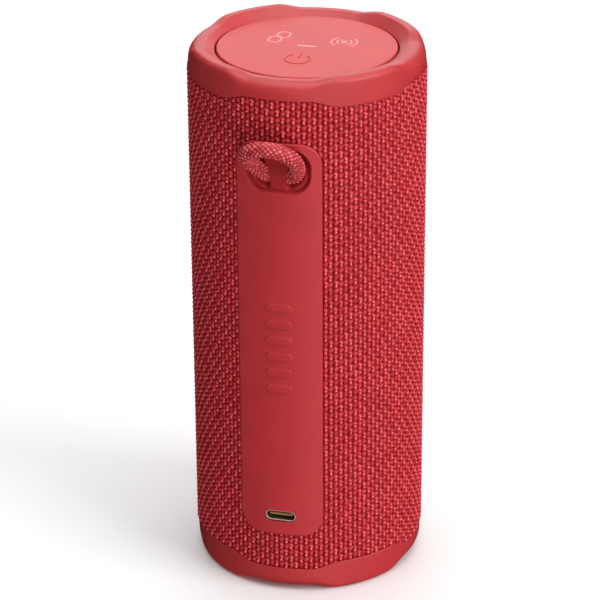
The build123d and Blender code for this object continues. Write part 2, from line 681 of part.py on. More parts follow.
for side_name, side in SIDES.items():
    yoke = spun(side, [
        (YOKE_BACK, 0), (YOKE_BACK, MOTOR_R), (YOKE_PLATE_TOP, MOTOR_R),
        (YOKE_PLATE_TOP, POLE_R), (GAP_PLATE_TOP, POLE_R), (GAP_PLATE_TOP, 0)])
    save(yoke, f"{side_name}_driver_yoke")

    magnet = spun(side, [
        (YOKE_PLATE_TOP, MAGNET_BORE_R), (YOKE_PLATE_TOP, MOTOR_R - 0.3),
        (MAGNET_TOP, MOTOR_R - 0.3), (MAGNET_TOP, MAGNET_BORE_R)])
    save(magnet, f"{side_name}_driver_magnet")

    gap_plate = spun(side, [
        (MAGNET_TOP, GAP_PLATE_BORE_R), (MAGNET_TOP, MOTOR_R - 0.6),
        (GAP_PLATE_TOP, MOTOR_R - 0.6), (GAP_PLATE_TOP, GAP_PLATE_BORE_R)])
    save(gap_plate, f"{side_name}_driver_gap_plate")

    voice_coil = spun(side, [
        (COIL_BACK, COIL_R), (COIL_BACK, COIL_R + WINDING_T), (COIL_FRONT, COIL_R + WINDING_T),
        (COIL_FRONT, COIL_R + FORMER_T), (CONE_FOOT, COIL_R + FORMER_T), (CONE_FOOT, COIL_R)])
    save(voice_coil, f"{side_name}_driver_voice_coil")

    spider_inner = COIL_R + FORMER_T
    spider = spun(side, [
        (11.8, spider_inner), (12.6, 9.0), (11.8, 11.0), (12.6, 13.0), (12.0, SPIDER_R),
        (12.4, SPIDER_R), (13.0, 13.0), (12.2, 11.0), (13.0, 9.0), (12.2, spider_inner)])
    save(spider, f"{side_name}_driver_spider")

    cone = spun(side, [
        (CONE_FOOT, COIL_R), (CONE_FOOT, COIL_R + 0.5), (CONE_TOP - 0.5, CONE_R),
        (CONE_TOP, CONE_R), (CONE_TOP, CONE_R - 0.5), (CONE_FOOT + 0.6, COIL_R)])
    save(cone, f"{side_name}_driver_cone")

    # a shallow dome closes the cone over the coil: two arcs about one centre on the axis
    with BuildPart() as dust_cap:
        with BuildSketch(side_plane(side, DRIVER_Z)):
            with Locations((DOME_CENTRE, 0)):
                Circle(DOME_R)
                Circle(DOME_R - DOME_T, mode=Mode.SUBTRACT)
            with Locations((DOME_FOOT, 0)):
                Rectangle(DOME_R, DOME_R, align=(Align.MIN, Align.MIN), mode=Mode.INTERSECT)
        revolve(axis=Axis((0, 0, DRIVER_Z), (1, 0, 0)))
    save(dust_cap, f"{side_name}_driver_dust_cap")

    # half roll between the cone's rim and the basket's step
    roll_mid = (CONE_R + ROLL_OUTER_R) / 2
    roll_half = (ROLL_OUTER_R - CONE_R) / 2
    roll_foot = CONE_TOP + SURROUND_T
    with BuildPart() as surround:
        with BuildSketch(side_plane(side, DRIVER_Z)):
            with BuildLine():
                Polyline((CONE_TOP, CONE_R - 0.7), (roll_foot, CONE_R - 0.7), (roll_foot, CONE_R))
                ThreePointArc(
                    (roll_foot, CONE_R), (roll_foot + roll_half, roll_mid), (roll_foot, ROLL_OUTER_R))
                Polyline(
                    (roll_foot, ROLL_OUTER_R), (roll_foot, SURROUND_R), (CONE_TOP, SURROUND_R),
                    (CONE_TOP, ROLL_OUTER_R - SURROUND_T))
                ThreePointArc(
                    (CONE_TOP, ROLL_OUTER_R - SURROUND_T), (CONE_TOP + roll_half, roll_mid),
                    (CONE_TOP, CONE_R + SURROUND_T))
                Line((CONE_TOP, CONE_R + SURROUND_T), (CONE_TOP, CONE_R - 0.7))
            make_face()
        revolve(axis=Axis((0, 0, DRIVER_Z), (1, 0, 0)))
    save(surround, f"{side_name}_driver_surround")

    with BuildPart() as basket:
        with BuildSketch(side_plane(side, DRIVER_Z)):
            with BuildLine():
                Polyline(
                    (GAP_PLATE_TOP, 8.6), (GAP_PLATE_TOP, SPIDER_R + 1), (12.6, SPIDER_R + 1),
                    (DRIVER_HEAD_SEAT, DRIVER_FLANGE_R - 1.2), (DRIVER_HEAD_SEAT, DRIVER_FLANGE_R),
                    (DRIVER_SEAT, DRIVER_FLANGE_R), (DRIVER_SEAT, 18.7), (CONE_TOP, 18.7),
                    (CONE_TOP, 17.3), (13.0, SPIDER_R), (GAP_PLATE_TOP + 1, SPIDER_R),
                    (GAP_PLATE_TOP + 1, 8.6), close=True)
            make_face()
        revolve(axis=Axis((0, 0, DRIVER_Z), (1, 0, 0)))
        with BuildSketch(facing_plane(side, 13.4, DRIVER_Z)):
            with PolarLocations(16.5, 4):
                RectangleRounded(9, 12, 1.5)
        extrude(amount=5.6, mode=Mode.SUBTRACT)
        with BuildSketch(facing_plane(side, 19.0, DRIVER_Z)):
            with PolarLocations(DRIVER_SCREW_RING, 4, 45):
                Circle(SCREW_CLEAR_R)
        extrude(amount=4, mode=Mode.SUBTRACT)
        with BuildSketch(facing_plane(side, DRIVER_HEAD_SEAT - 4, DRIVER_Z)):
            with PolarLocations(DRIVER_SCREW_RING, 4, 45):
                Circle(SCREW_HEAD_R + GAP)
        extrude(amount=4, mode=Mode.SUBTRACT)
    save(basket, f"{side_name}_driver_basket")

# ---- passive radiators -----------------------------------------------------------------------------
WEIGHT_W = 15.0
WEIGHT_H = 35.0
WEIGHT_T = 2.4
LIP = 0.6
RADIATOR_FRAME_T = 1.6
FRAME_BORDER = 3.7        # width of the frame's rim
LIP_BORDER = 2.2          # the surround's lip lies in a step this far inside the frame
ROLL_BORDER = 4.5         # the roll starts this far inside the frame
ROLL_RISE = 1.4
ROLL_SLANT = 25
HOLLOW_BORDER = 5.2       # hollow behind the roll
HOLLOW_RISE = 0.6
for side_name, side in SIDES.items():
    frame_back = RADIATOR_SEAT - RADIATOR_FRAME_T
    with BuildPart() as radiator_frame:
        with BuildSketch(facing_plane(side, frame_back, RADIATOR_Z)):
            racetrack(RADIATOR_W, RADIATOR_H)
        extrude(amount=RADIATOR_FRAME_T)
        with BuildSketch(facing_plane(side, frame_back - 1, RADIATOR_Z)):
            racetrack(RADIATOR_W - 2 * FRAME_BORDER, RADIATOR_H - 2 * FRAME_BORDER)
        extrude(amount=RADIATOR_FRAME_T + 2, mode=Mode.SUBTRACT)
        with BuildSketch(facing_plane(side, RADIATOR_SEAT - LIP, RADIATOR_Z)):
            racetrack(RADIATOR_W - 2 * LIP_BORDER, RADIATOR_H - 2 * LIP_BORDER)
        extrude(amount=LIP, mode=Mode.SUBTRACT)
    save(radiator_frame, f"{side_name}_radiator_frame")

    with BuildPart() as radiator_surround:
        with BuildSketch(facing_plane(side, RADIATOR_SEAT - LIP, RADIATOR_Z)):
            racetrack(RADIATOR_W - 2 * (LIP_BORDER + FIT), RADIATOR_H - 2 * (LIP_BORDER + FIT))
        extrude(amount=LIP)
        with BuildSketch(facing_plane(side, RADIATOR_SEAT, RADIATOR_Z)):
            racetrack(RADIATOR_W - 2 * ROLL_BORDER, RADIATOR_H - 2 * ROLL_BORDER)
        extrude(amount=ROLL_RISE, taper=ROLL_SLANT)
        with BuildSketch(facing_plane(side, RADIATOR_SEAT - LIP - 1, RADIATOR_Z)):
            racetrack(RADIATOR_W - 2 * HOLLOW_BORDER, RADIATOR_H - 2 * HOLLOW_BORDER)
        extrude(amount=LIP + 1 + HOLLOW_RISE, taper=ROLL_SLANT, mode=Mode.SUBTRACT)
        with BuildSketch(facing_plane(side, RADIATOR_SEAT - LIP - 1, RADIATOR_Z)):
            racetrack(WEIGHT_W, WEIGHT_H)
        extrude(amount=LIP + 1 + 2 * ROLL_RISE, mode=Mode.SUBTRACT)
    save(radiator_surround, f"{side_name}_radiator_surround")

    with BuildPart() as radiator_weight:
        with BuildSketch(facing_plane(side, RADIATOR_SEAT - WEIGHT_T / 2, RADIATOR_Z)):
            racetrack(WEIGHT_W - 2 * FIT, WEIGHT_H - 2 * FIT)
        extrude(amount=WEIGHT_T)
    save(radiator_weight, f"{side_name}_radiator_weight")

# ---- battery ------------------------------------------------------------------------------------------
CELL_R = 9.2
CELL_BOTTOM = 20.0
CELL_LENGTH = 65.0
CELL_PLACES = [(0, 9.5), (0, -9.3)]
CELL_TERMINAL_R = 2.8
CELL_TERMINAL_H = 0.6
TRAY_T = 3.0
TRAY_W = 21.0
TRAY_D = 39.5
TRAY_CORNER = 4.0
TRAY_BELOW = 1.2          # floor of the lower tray under the cells
RAIL_X = 10.0
RAIL_W = 1.0
RAIL_D = 14.0
with BuildPart() as battery_cells:
    with BuildSketch(Plane.XY.offset(CELL_BOTTOM)):
        with Locations(*CELL_PLACES):
            Circle(CELL_R)
    extrude(amount=CELL_LENGTH)
    with BuildSketch(Plane.XY.offset(CELL_BOTTOM + CELL_LENGTH)):
        with Locations(*CELL_PLACES):
            Circle(CELL_TERMINAL_R)
    extrude(amount=CELL_TERMINAL_H)
save(battery_cells, "battery_cells")

with BuildPart() as battery_cradle:
    for tray_bottom in (CELL_BOTTOM - TRAY_BELOW, CELL_BOTTOM + CELL_LENGTH - 1):
        with BuildSketch(Plane.XY.offset(tray_bottom)):
            RectangleRounded(TRAY_W, TRAY_D, TRAY_CORNER)
        extrude(amount=TRAY_T)
    with BuildSketch(Plane.XY.offset(CELL_BOTTOM - TRAY_BELOW)):
        with Locations((RAIL_X, 0), (-RAIL_X, 0)):
            Rectangle(RAIL_W, RAIL_D)
    extrude(amount=CELL_LENGTH + TRAY_T)
    with BuildSketch(Plane.XY.offset(CELL_BOTTOM)):
        with Locations(*CELL_PLACES):
            Circle(CELL_R + 2 * FIT)
    extrude(amount=CELL_LENGTH + CELL_TERMINAL_H + 2 * FIT, mode=Mode.SUBTRACT)
save(battery_cradle, "battery_cradle")

# ---- main board -----------------------------------------------------------------------------------------
BOARD_FRONT_Y = BOARD_BACK_Y + BOARD_T
BOARD_W = 32.0
BOARD_H = 74.0
BOARD_MID_Z = 55.0
PARTS_H = 2.4
INDUCTOR_R = 3.2
with BuildPart() as main_board:
    with BuildSketch(strip_plane(-BOARD_FRONT_Y)):
        with Locations((0, BOARD_MID_Z)):
            RectangleRounded(BOARD_W, BOARD_H, 2)
        with Locations(*BOARD_POSTS):
            Circle(SCREW_CLEAR_R, mode=Mode.SUBTRACT)
    extrude(amount=BOARD_T)
save(main_board, "main_board")

with BuildPart() as board_parts:
    with BuildSketch(front_plane(BOARD_FRONT_Y, BOARD_MID_Z)):
        with Locations((0, 21)):
            RectangleRounded(16, 12, 1)       # radio module
        with Locations((-6, 5)):
            Rectangle(7, 7)                   # amplifier
        with Locations((6, 5), (6, -5)):
            Circle(INDUCTOR_R)
        with Locations((-6, -8)):
            Rectangle(5, 5)                   # charge controller
        with Locations((0, -19)):
            RectangleRounded(12, 5, 0.6)      # battery plug
    extrude(amount=PARTS_H)
save(board_parts, "board_parts")

# ---- screws ----------------------------------------------------------------------------------------------
CAP_SCREW_LENGTH = 9.0
SCREW_BITE = 3.0          # how far the small screws go into their posts
with BuildPart() as screws:
    for head_plane, head_offset in ((Plane.XY.offset(TOP_SEAT), -1), (Plane.XY.offset(BASE_SEAT), 1)):
        with BuildSketch(head_plane):
            with PolarLocations(BOSS_RING, 4, 45):
                Circle(CAP_SCREW_R)
        extrude(amount=head_offset * CAP_SCREW_LENGTH)
    with BuildSketch(Plane.XY.offset(KEY_BOARD_TOP)):
        with PolarLocations(KEY_POST_RING, 3, 90):
            Circle(SCREW_HEAD_R)
    extrude(amount=SCREW_HEAD_T)
    with BuildSketch(Plane.XY.offset(TOP_SEAT - SCREW_BITE)):
        with PolarLocations(KEY_POST_RING, 3, 90):
            Circle(SCREW_R)
    extrude(amount=KEY_BOARD_TOP - TOP_SEAT + SCREW_BITE)
    with BuildSketch(strip_plane(-BOARD_FRONT_Y)):
        with Locations(*BOARD_POSTS):
            Circle(SCREW_HEAD_R)
    extrude(amount=-SCREW_HEAD_T)
    with BuildSketch(strip_plane(-BOARD_FRONT_Y)):
        with Locations(*BOARD_POSTS):
            Circle(SCREW_R)
    extrude(amount=BOARD_T + SCREW_BITE)
    for side in SIDES.values():
        with BuildSketch(facing_plane(side, DRIVER_HEAD_SEAT - SCREW_HEAD_T, DRIVER_Z)):
            with PolarLocations(DRIVER_SCREW_RING, 4, 45):
                Circle(SCREW_HEAD_R)
        extrude(amount=SCREW_HEAD_T)
        with BuildSketch(facing_plane(side, DRIVER_HEAD_SEAT, DRIVER_Z)):
            with PolarLocations(DRIVER_SCREW_RING, 4, 45):
                Circle(SCREW_R)
        extrude(amount=DRIVER_SEAT - DRIVER_HEAD_SEAT + SCREW_BITE)
save(screws, "screws")
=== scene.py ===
"""Looks for the can-sized portable speaker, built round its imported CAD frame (metres, +Z up)."""
import json
import math

import bpy
import numpy as np
from mathutils import Matrix, Vector
from mathutils.geometry import delaunay_2d_cdt


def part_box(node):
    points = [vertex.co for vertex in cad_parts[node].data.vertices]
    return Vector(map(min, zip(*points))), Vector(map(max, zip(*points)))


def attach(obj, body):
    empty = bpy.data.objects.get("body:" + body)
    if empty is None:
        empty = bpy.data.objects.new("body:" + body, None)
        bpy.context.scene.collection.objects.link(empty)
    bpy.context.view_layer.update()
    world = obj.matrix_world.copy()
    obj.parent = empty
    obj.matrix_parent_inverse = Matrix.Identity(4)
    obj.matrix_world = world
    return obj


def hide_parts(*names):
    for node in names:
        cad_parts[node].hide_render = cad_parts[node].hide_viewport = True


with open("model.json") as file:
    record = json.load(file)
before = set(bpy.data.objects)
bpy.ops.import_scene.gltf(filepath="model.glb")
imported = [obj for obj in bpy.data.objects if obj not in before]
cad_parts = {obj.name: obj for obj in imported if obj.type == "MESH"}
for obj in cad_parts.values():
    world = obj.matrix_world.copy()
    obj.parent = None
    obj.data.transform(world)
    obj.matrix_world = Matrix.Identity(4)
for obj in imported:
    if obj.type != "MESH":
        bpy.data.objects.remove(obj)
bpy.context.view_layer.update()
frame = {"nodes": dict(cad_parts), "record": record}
NODES = frame["nodes"]
MM = 0.001
TINY = 1e-9

# ---- sizes read from the frame -------------------------------------------------------------------
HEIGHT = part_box("top_bumper")[1].z
BODY_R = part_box("fabric_sleeve")[1].x
PANEL_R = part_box("top_panel")[1].x
PANEL_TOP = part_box("top_panel")[1].z
STRIP_LOW, STRIP_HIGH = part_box("rear_strip")
STRIP_R = -STRIP_LOW.y
POCKET_LOW, POCKET_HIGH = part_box("loop_pocket")
PORT_LOW, PORT_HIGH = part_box("usb_shell")
CRIMP_LOW, CRIMP_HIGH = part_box("loop_crimp")
RIBS_LOW, RIBS_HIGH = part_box("grip_ribs")

# ---- camera: on the strip's side, from above, turned a little round the body ---------------------
CAMERA_TURN = math.radians(14.2)
CAMERA_OUT = 0.7262
CAMERA_UP = 0.4198
CAMERA_PITCH = math.radians(25.13)
CAMERA_PAN = math.radians(-0.193)
CAMERA_ROLL = math.radians(-0.374)
LENS_MM = 164.17


def add_camera():
    """A long lens at the photograph's viewing angle, with no shift and no depth of field."""
    turn = Matrix.Rotation(CAMERA_TURN, 3, "Z")
    level = math.cos(CAMERA_PITCH)
    forward = Vector((math.sin(CAMERA_PAN) * level, math.cos(CAMERA_PAN) * level,
                      -math.sin(CAMERA_PITCH)))
    right = forward.cross(Vector((0, 0, 1))).normalized()
    up = right.cross(forward)
    c, s = math.cos(CAMERA_ROLL), math.sin(CAMERA_ROLL)
    right, up = right * c + up * s, up * c - right * s
    axes = Matrix((turn @ right, turn @ up, turn @ -forward)).transposed()
    data = bpy.data.cameras.new("camera")
    data.lens = LENS_MM
    data.clip_start = 0.01
    camera = bpy.data.objects.new("camera", data)
    place = turn @ Vector((0, -CAMERA_OUT, CAMERA_UP))
    camera.matrix_world = Matrix.Translation(place) @ axes.to_4x4()
    bpy.context.scene.collection.objects.link(camera)
    bpy.context.scene.camera = camera


add_camera()


# ---- mesh helpers --------------------------------------------------------------------------------
SHARP_ANGLE = math.radians(40)


def put(name, verts, faces, material, body, slot, replaces=()):
    """Make a piece from lists of points and faces, with hard edges where it turns sharply."""
    mesh = bpy.data.meshes.new(name)
    mesh.from_pydata([tuple(v) for v in verts], [], [tuple(f) for f in faces])
    mesh.validate()
    mesh.update()
    piece = put_mesh(name, mesh, material, body, replaces)
    mesh.set_sharp_from_angle(angle=SHARP_ANGLE)
    return piece


def put_mesh(name, mesh, material, body, replaces=()):
    """Hang a finished mesh on its body, smooth-shaded, with its material."""
    mesh.shade_smooth()
    mesh.materials.append(material)
    piece = bpy.data.objects.new(name, mesh)
    bpy.context.scene.collection.objects.link(piece)
    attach(piece, body)
    if replaces:
        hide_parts(*replaces)
    return piece


def quads(rows, cols, wrap_rows=False, wrap_cols=False):
    """Quad indices of a rows x cols grid of points, closed on itself where asked."""
    i = np.arange(rows if wrap_rows else rows - 1)
    j = np.arange(cols if wrap_cols else cols - 1)
    i, j = np.meshgrid(i, j, indexing="ij")
    i, j = i.ravel(), j.ravel()
    i1, j1 = (i + 1) % rows, (j + 1) % cols
    return np.stack([i * cols + j, i1 * cols + j, i1 * cols + j1, i * cols + j1], -1)


def fast_mesh(name, points, faces):
    """Mesh from a point array and a quad array, without Python loops."""
    mesh = bpy.data.meshes.new(name)
    mesh.vertices.add(len(points))
    mesh.vertices.foreach_set("co", points.astype(np.float32).ravel())
    mesh.loops.add(faces.size)
    mesh.loops.foreach_set("vertex_index", faces.astype(np.int32).ravel())
    mesh.polygons.add(len(faces))
    mesh.polygons.foreach_set("loop_start", np.arange(0, faces.size, 4, dtype=np.int32))
    mesh.update(calc_edges=True)
    mesh.validate()
    return mesh


def give_values(mesh, name, values):
    """Give a mesh one number per point, for its material to read."""
    attribute = mesh.attributes.new(name, "FLOAT", "POINT")
    attribute.data.foreach_set("value", values.astype(np.float32).ravel())


def smooth_step(x):
    """0 below 0, 1 above 1, and an even S between them."""
    x = np.clip(x, 0, 1)
    return x * x * (3 - 2 * x)


def fillet_corners(corners, radii, arc_steps=7, run_steps=3):
    """Points along straight runs joined by arcs; the corner count alone sets their number."""
    corners = [Vector(c) for c in corners]
    starts, ends, arcs = [], [], []
    for before, here, after, radius in zip(corners, corners[1:], corners[2:], radii):
        into, out = (here - before).normalized(), (after - here).normalized()
        turn = into.angle(out)
        reach = radius * math.tan(turn / 2)
        start, end = here - into * reach, here + out * reach
        side = (out - into * into.dot(out)).normalized()
        centre = start + side * radius
        arc = []
        for k in range(arc_steps + 1):
            a = turn * k / arc_steps
            arc.append(centre - side * radius * math.cos(a) + into * radius * math.sin(a))
        starts.append(start)
        ends.append(end)
        arcs.append(arc)
    points = [corners[0]]
    for start, arc in zip(starts, arcs):
        last = points[-1]
        points += [last.lerp(start, k / run_steps) for k in range(1, run_steps)]
        points += arc
    last = points[-1]
    points += [last.lerp(corners[-1], k / run_steps) for k in range(1, run_steps + 1)]
    return np.array([tuple(p) for p in points])


# ---- outlines in a flat (u, v) plane, anticlockwise ----------------------------------------------
FULL_ROUND = 0.999  # share of the half height, as a corner radius, that makes a rectangle a pill


def rounded_rect(half_w, half_h, corner, centre=(0, 0), steps=12):
    """Closed rectangle with round corners."""
    out = []
    for quarter, (sx, sy) in enumerate(((1, 1), (-1, 1), (-1, -1), (1, -1))):
        for k in range(steps + 1):
            a = math.pi / 2 * (quarter + k / steps)
            out.append((centre[0] + sx * (half_w - corner) + corner * math.cos(a),
                        centre[1] + sy * (half_h - corner) + corner * math.sin(a)))
    return resample(out)


def disc(radius, centre=(0, 0), count=96):
    """Closed circle."""
    a = np.linspace(0, 2 * np.pi, count, endpoint=False)
    return np.stack([centre[0] + radius * np.cos(a), centre[1] + radius * np.sin(a)], -1)


def resample(loop, step=0.55 * MM):
    """The same closed outline with evenly spaced points."""
    loop = np.array(loop)
    shut = np.vstack([loop, loop[:1]])
    run = np.linalg.norm(np.diff(shut, axis=0), axis=1)
    keep = np.r_[True, run[:-1] > TINY]
    loop = loop[keep]
    shut = np.vstack([loop, loop[:1]])
    along = np.r_[0, np.cumsum(np.linalg.norm(np.diff(shut, axis=0), axis=1))]
    count = max(24, int(along[-1] / step))
    at = np.linspace(0, along[-1], count, endpoint=False)
    return np.stack([np.interp(at, along, shut[:, k]) for k in (0, 1)], -1)


def rounded_polygon(corners, radius, steps=8):
    """Closed polygon with every corner, convex or not, rounded by one radius."""
    out = []
    count = len(corners)
    for i in range(count):
        before, here, after = (Vector(corners[(i + k) % count]) for k in (-1, 0, 1))
        into, on = (here - before).normalized(), (after - here).normalized()
        turn = into.angle(on)
        reach = radius * math.tan(turn / 2)
        start = here - into * reach
        side = (on - into * into.dot(on)).normalized()
        centre = start + side * radius
        for k in range(steps + 1):
            a = turn * k / steps
            p = centre - side * radius * math.cos(a) + into * radius * math.sin(a)
            out.append((p.x, p.y))
    return resample(out, 0.3 * MM)


def grown(loop, by):
    """The outline moved outwards along its own normals."""
    ahead, behind = np.roll(loop, -1, 0), np.roll(loop, 1, 0)
    along = ahead - behind
    along /= np.linalg.norm(along, axis=1)[:, None] + 1e-12
    return loop + by * np.stack([along[:, 1], -along[:, 0]], -1)


def inside(loop, points):
    """Which points lie within a closed outline."""
    x, y = points[:, 0], points[:, 1]
    odd = np.zeros(len(points), bool)
    x0, y0 = loop[:, 0], loop[:, 1]
    x1, y1 = np.roll(x0, -1), np.roll(y0, -1)
    for ax, ay, bx, by in zip(x0, y0, x1, y1):
        if ay == by:
            continue
        odd ^= ((ay > y) != (by > y)) & (x < (bx - ax) * (y - ay) / (by - ay) + ax)
    return odd


def distance_to(loop, points):
    """Distance from each point to the outline, negative inside it."""
    best = np.full(len(points), np.inf)
    for a, b in zip(loop, np.roll(loop, -1, 0)):
        d = b - a
        t = np.clip(((points - a) @ d) / (d @ d), 0, 1)
        best = np.minimum(best, np.linalg.norm(points - a - t[:, None] * d, axis=1))
    return np.where(inside(loop, points), -best, best)


def round_body(radius, facing=-1):
    """Map (u, v, rise) to the body's side, with u round it from -Y (facing -1) or +Y (facing 1)."""
    def place(u, v, rise):
        a = np.asarray(u) / radius
        r = radius + np.asarray(rise)
        return np.stack([-facing * r * np.sin(a), facing * r * np.cos(a),
                         np.broadcast_to(v, np.shape(a))], -1)
    return place


def flat_top(height):
    """Map (u, v, rise) to a level plane."""
    def place(u, v, rise):
        return np.stack([u, v, np.broadcast_to(height + rise, np.shape(u))], -1)
    return place


def plate(outer, holes, place, edge, hole_edge, cell):
    """Verts and faces of a plate: its face between the outer outline and the holes, and its edges.

    edge and hole_edge are lists of (inset from the outline, rise), from the face downwards. cell is
    the spacing of the points that the face is filled with.
    """
    verts, faces = [], []

    def ring(loop, rise):
        first = len(verts)
        verts.extend(place(loop[:, 0], loop[:, 1], rise))
        return list(range(first, first + len(loop)))

    def wall(rings, flip):
        for a, b in zip(rings, rings[1:]):
            n = len(a)
            for k in range(n):
                f = (a[k], b[k], b[(k + 1) % n], a[(k + 1) % n])
                faces.append(f[::-1] if flip else f)

    outer_face = grown(outer, -edge[0][0])
    hole_faces = [grown(h, hole_edge[0][0]) for h in holes]
    lo, hi = outer_face.min(0), outer_face.max(0)
    gx, gy = np.meshgrid(np.arange(lo[0] + cell / 2, hi[0], cell),
                         np.arange(lo[1] + cell / 2, hi[1], cell), indexing="ij")
    spots = np.stack([gx.ravel(), gy.ravel()], -1)
    clear = 0.45 * cell
    keep = distance_to(outer_face, spots) < -clear
    for h in hole_faces:
        keep &= distance_to(h, spots) > clear
    spots = spots[keep]
    loops = [outer_face] + hole_faces
    coords = np.vstack(loops + [spots])
    edges, first = [], 0
    for loop in loops:
        n = len(loop)
        edges += [(first + k, first + (k + 1) % n) for k in range(n)]
        first += n
    made = delaunay_2d_cdt([Vector(c) for c in coords], edges, [], 0, TINY)
    flat = np.array([tuple(v) for v in made[0]])
    base = len(verts)
    verts.extend(place(flat[:, 0], flat[:, 1], edge[0][1]))
    tris = np.array([f for f in made[2] if len(f) == 3])
    middle = flat[tris].mean(1)
    solid = inside(outer_face, middle)
    for h in hole_faces:
        solid &= ~inside(h, middle)
    for t in tris[solid]:
        a, b, c = flat[t]
        turn = (b[0] - a[0]) * (c[1] - a[1]) - (b[1] - a[1]) * (c[0] - a[0])
        faces.append(tuple(int(base + k) for k in (t if turn > 0 else t[::-1])))
    place_of = {old: base + new for new, olds in enumerate(made[3]) for old in olds}
    first = 0
    for index, loop in enumerate(loops):
        n = len(loop)
        top = [place_of[first + k] for k in range(n)]
        first += n
        steps = edge if index == 0 else hole_edge
        source = outer if index == 0 else holes[index - 1]
        sign = -1 if index == 0 else 1
        rings = [top] + [ring(grown(source, sign * inset), rise) for inset, rise in steps[1:]]
        wall(rings, index == 0)
    return verts, faces


def joined(parts):
    """Several (verts, faces) pairs as one."""
    verts, faces = [], []
    for v, f in parts:
        faces += [tuple(int(i) + len(verts) for i in face) for face in f]
        verts += list(v)
    return verts, faces


def round_over(radius, depth, steps=5):
    """Edge steps (inset, rise): a quarter round of this radius, then straight down to depth."""
    out = [(radius + 0.15 * MM, 0)]
    for k in range(steps + 1):
        a = math.pi / 2 * k / steps
        out.append((radius * (1 - math.sin(a)), -radius * (1 - math.cos(a))))
    return out + [(0, -depth)]


STROKE_SINK = 0.02 * MM  # how far a stroke's edges go below its face


def stroke(points, width, rise, place, sections=7, cap_steps=4):
    """Verts and faces of a raised half-round line along a path, with round ends."""
    points = np.array(points, float)
    along = np.gradient(points, axis=0)
    along /= np.linalg.norm(along, axis=1)[:, None]
    bends = [math.pi / 2 * k / cap_steps for k in range(cap_steps)]
    head = [points[0] - along[0] * width / 2 * math.cos(a) for a in bends]
    tail = [points[-1] + along[-1] * width / 2 * math.cos(a) for a in bends][::-1]
    line = np.vstack([head, points, tail])
    direction = np.vstack([[along[0]] * cap_steps, along, [along[-1]] * cap_steps])
    cap = [math.sin(a) for a in bends]
    scale = np.r_[cap, np.ones(len(points)), cap[::-1]]
    scale = np.maximum(scale, 0.02)
    across = np.stack([-direction[:, 1], direction[:, 0]], -1)
    verts = []
    for centre, side, s in zip(line, across, scale):
        for k in range(sections):
            a = math.pi * k / (sections - 1)
            p = centre + side * math.cos(a) * width / 2 * s
            height = rise * math.sin(a) ** 0.7 * s - STROKE_SINK
            verts.append(place(p[0:1], p[1:2], height)[0])
    return verts, quads(len(line), sections)[:, ::-1]


def arc_points(centre, radius, start, end, count=28):
    """Points along an arc between two angles in degrees."""
    a = np.radians(np.linspace(start, end, count))
    return np.stack([centre[0] + radius * np.cos(a), centre[1] + radius * np.sin(a)], -1)


# ---- materials -----------------------------------------------------------------------------------
def node_material(name):
    """A material, its nodes, its shader and its object coordinates."""
    material = bpy.data.materials.new(name)
    material.use_nodes = True
    tree = material.node_tree
    shader = tree.nodes["Principled BSDF"]
    coords = tree.nodes.new("ShaderNodeTexCoord")
    return material, tree, shader, coords.outputs["Object"]


def noise(tree, coords, scale, detail=3, stretch=None):
    """Noise value over object coordinates; stretch squeezes it along an axis."""
    node = tree.nodes.new("ShaderNodeTexNoise")
    node.inputs["Scale"].default_value = scale
    node.inputs["Detail"].default_value = detail
    source = coords
    if stretch:
        mapping = tree.nodes.new("ShaderNodeMapping")
        mapping.inputs["Scale"].default_value = stretch
        tree.links.new(coords, mapping.inputs["Vector"])
        source = mapping.outputs["Vector"]
    tree.links.new(source, node.inputs["Vector"])
    return node.outputs["Fac"]


def ramp(tree, value, stops):
    """Colour ramp over a value from (position, colour) stops."""
    node = tree.nodes.new("ShaderNodeValToRGB")
    band = node.color_ramp
    while len(band.elements) < len(stops):
        band.elements.new(0.5)
    for element, (position, colour) in zip(band.elements, stops):
        element.position = position
        element.color = (*colour, 1)
    tree.links.new(value, node.inputs["Fac"])
    return node.outputs["Color"]


def spread_value(tree, value, low, high):
    """Map a noise value, which keeps near the middle of 0..1, to low..high."""
    node = tree.nodes.new("ShaderNodeMapRange")
    node.inputs["From Min"].default_value = 0.3
    node.inputs["From Max"].default_value = 0.7
    node.inputs["To Min"].default_value = low
    node.inputs["To Max"].default_value = high
    tree.links.new(value, node.inputs["Value"])
    return node.outputs["Result"]


def bump(tree, shader, height, distance):
    node = tree.nodes.new("ShaderNodeBump")
    node.inputs["Distance"].default_value = distance
    node.inputs["Strength"].default_value = 1.0
    tree.links.new(height, node.inputs["Height"])
    tree.links.new(node.outputs["Normal"], shader.inputs["Normal"])


def shade(colour, amount):
    return tuple(min(1, c * amount) for c in colour)


def mesh_value(tree, name):
    """The number that give_values gave each point."""
    node = tree.nodes.new("ShaderNodeAttribute")
    node.attribute_name = name
    return node.outputs["Fac"]


def paint_recess_shade(tree, tone_and_painted_light, colour):
    """Painted shade: mix towards a darker colour by the mesh's painted shade value."""
    mix = tree.nodes.new("ShaderNodeMix")
    mix.data_type = "RGBA"
    tree.links.new(mesh_value(tree, "painted_recess_shade"), mix.inputs["Factor"])
    tree.links.new(tone_and_painted_light, mix.inputs["A"])
    mix.inputs["B"].default_value = (*colour, 1)
    return mix.outputs["Result"]


MOTTLING = 0.05
MOTTLE_SCALE = 90


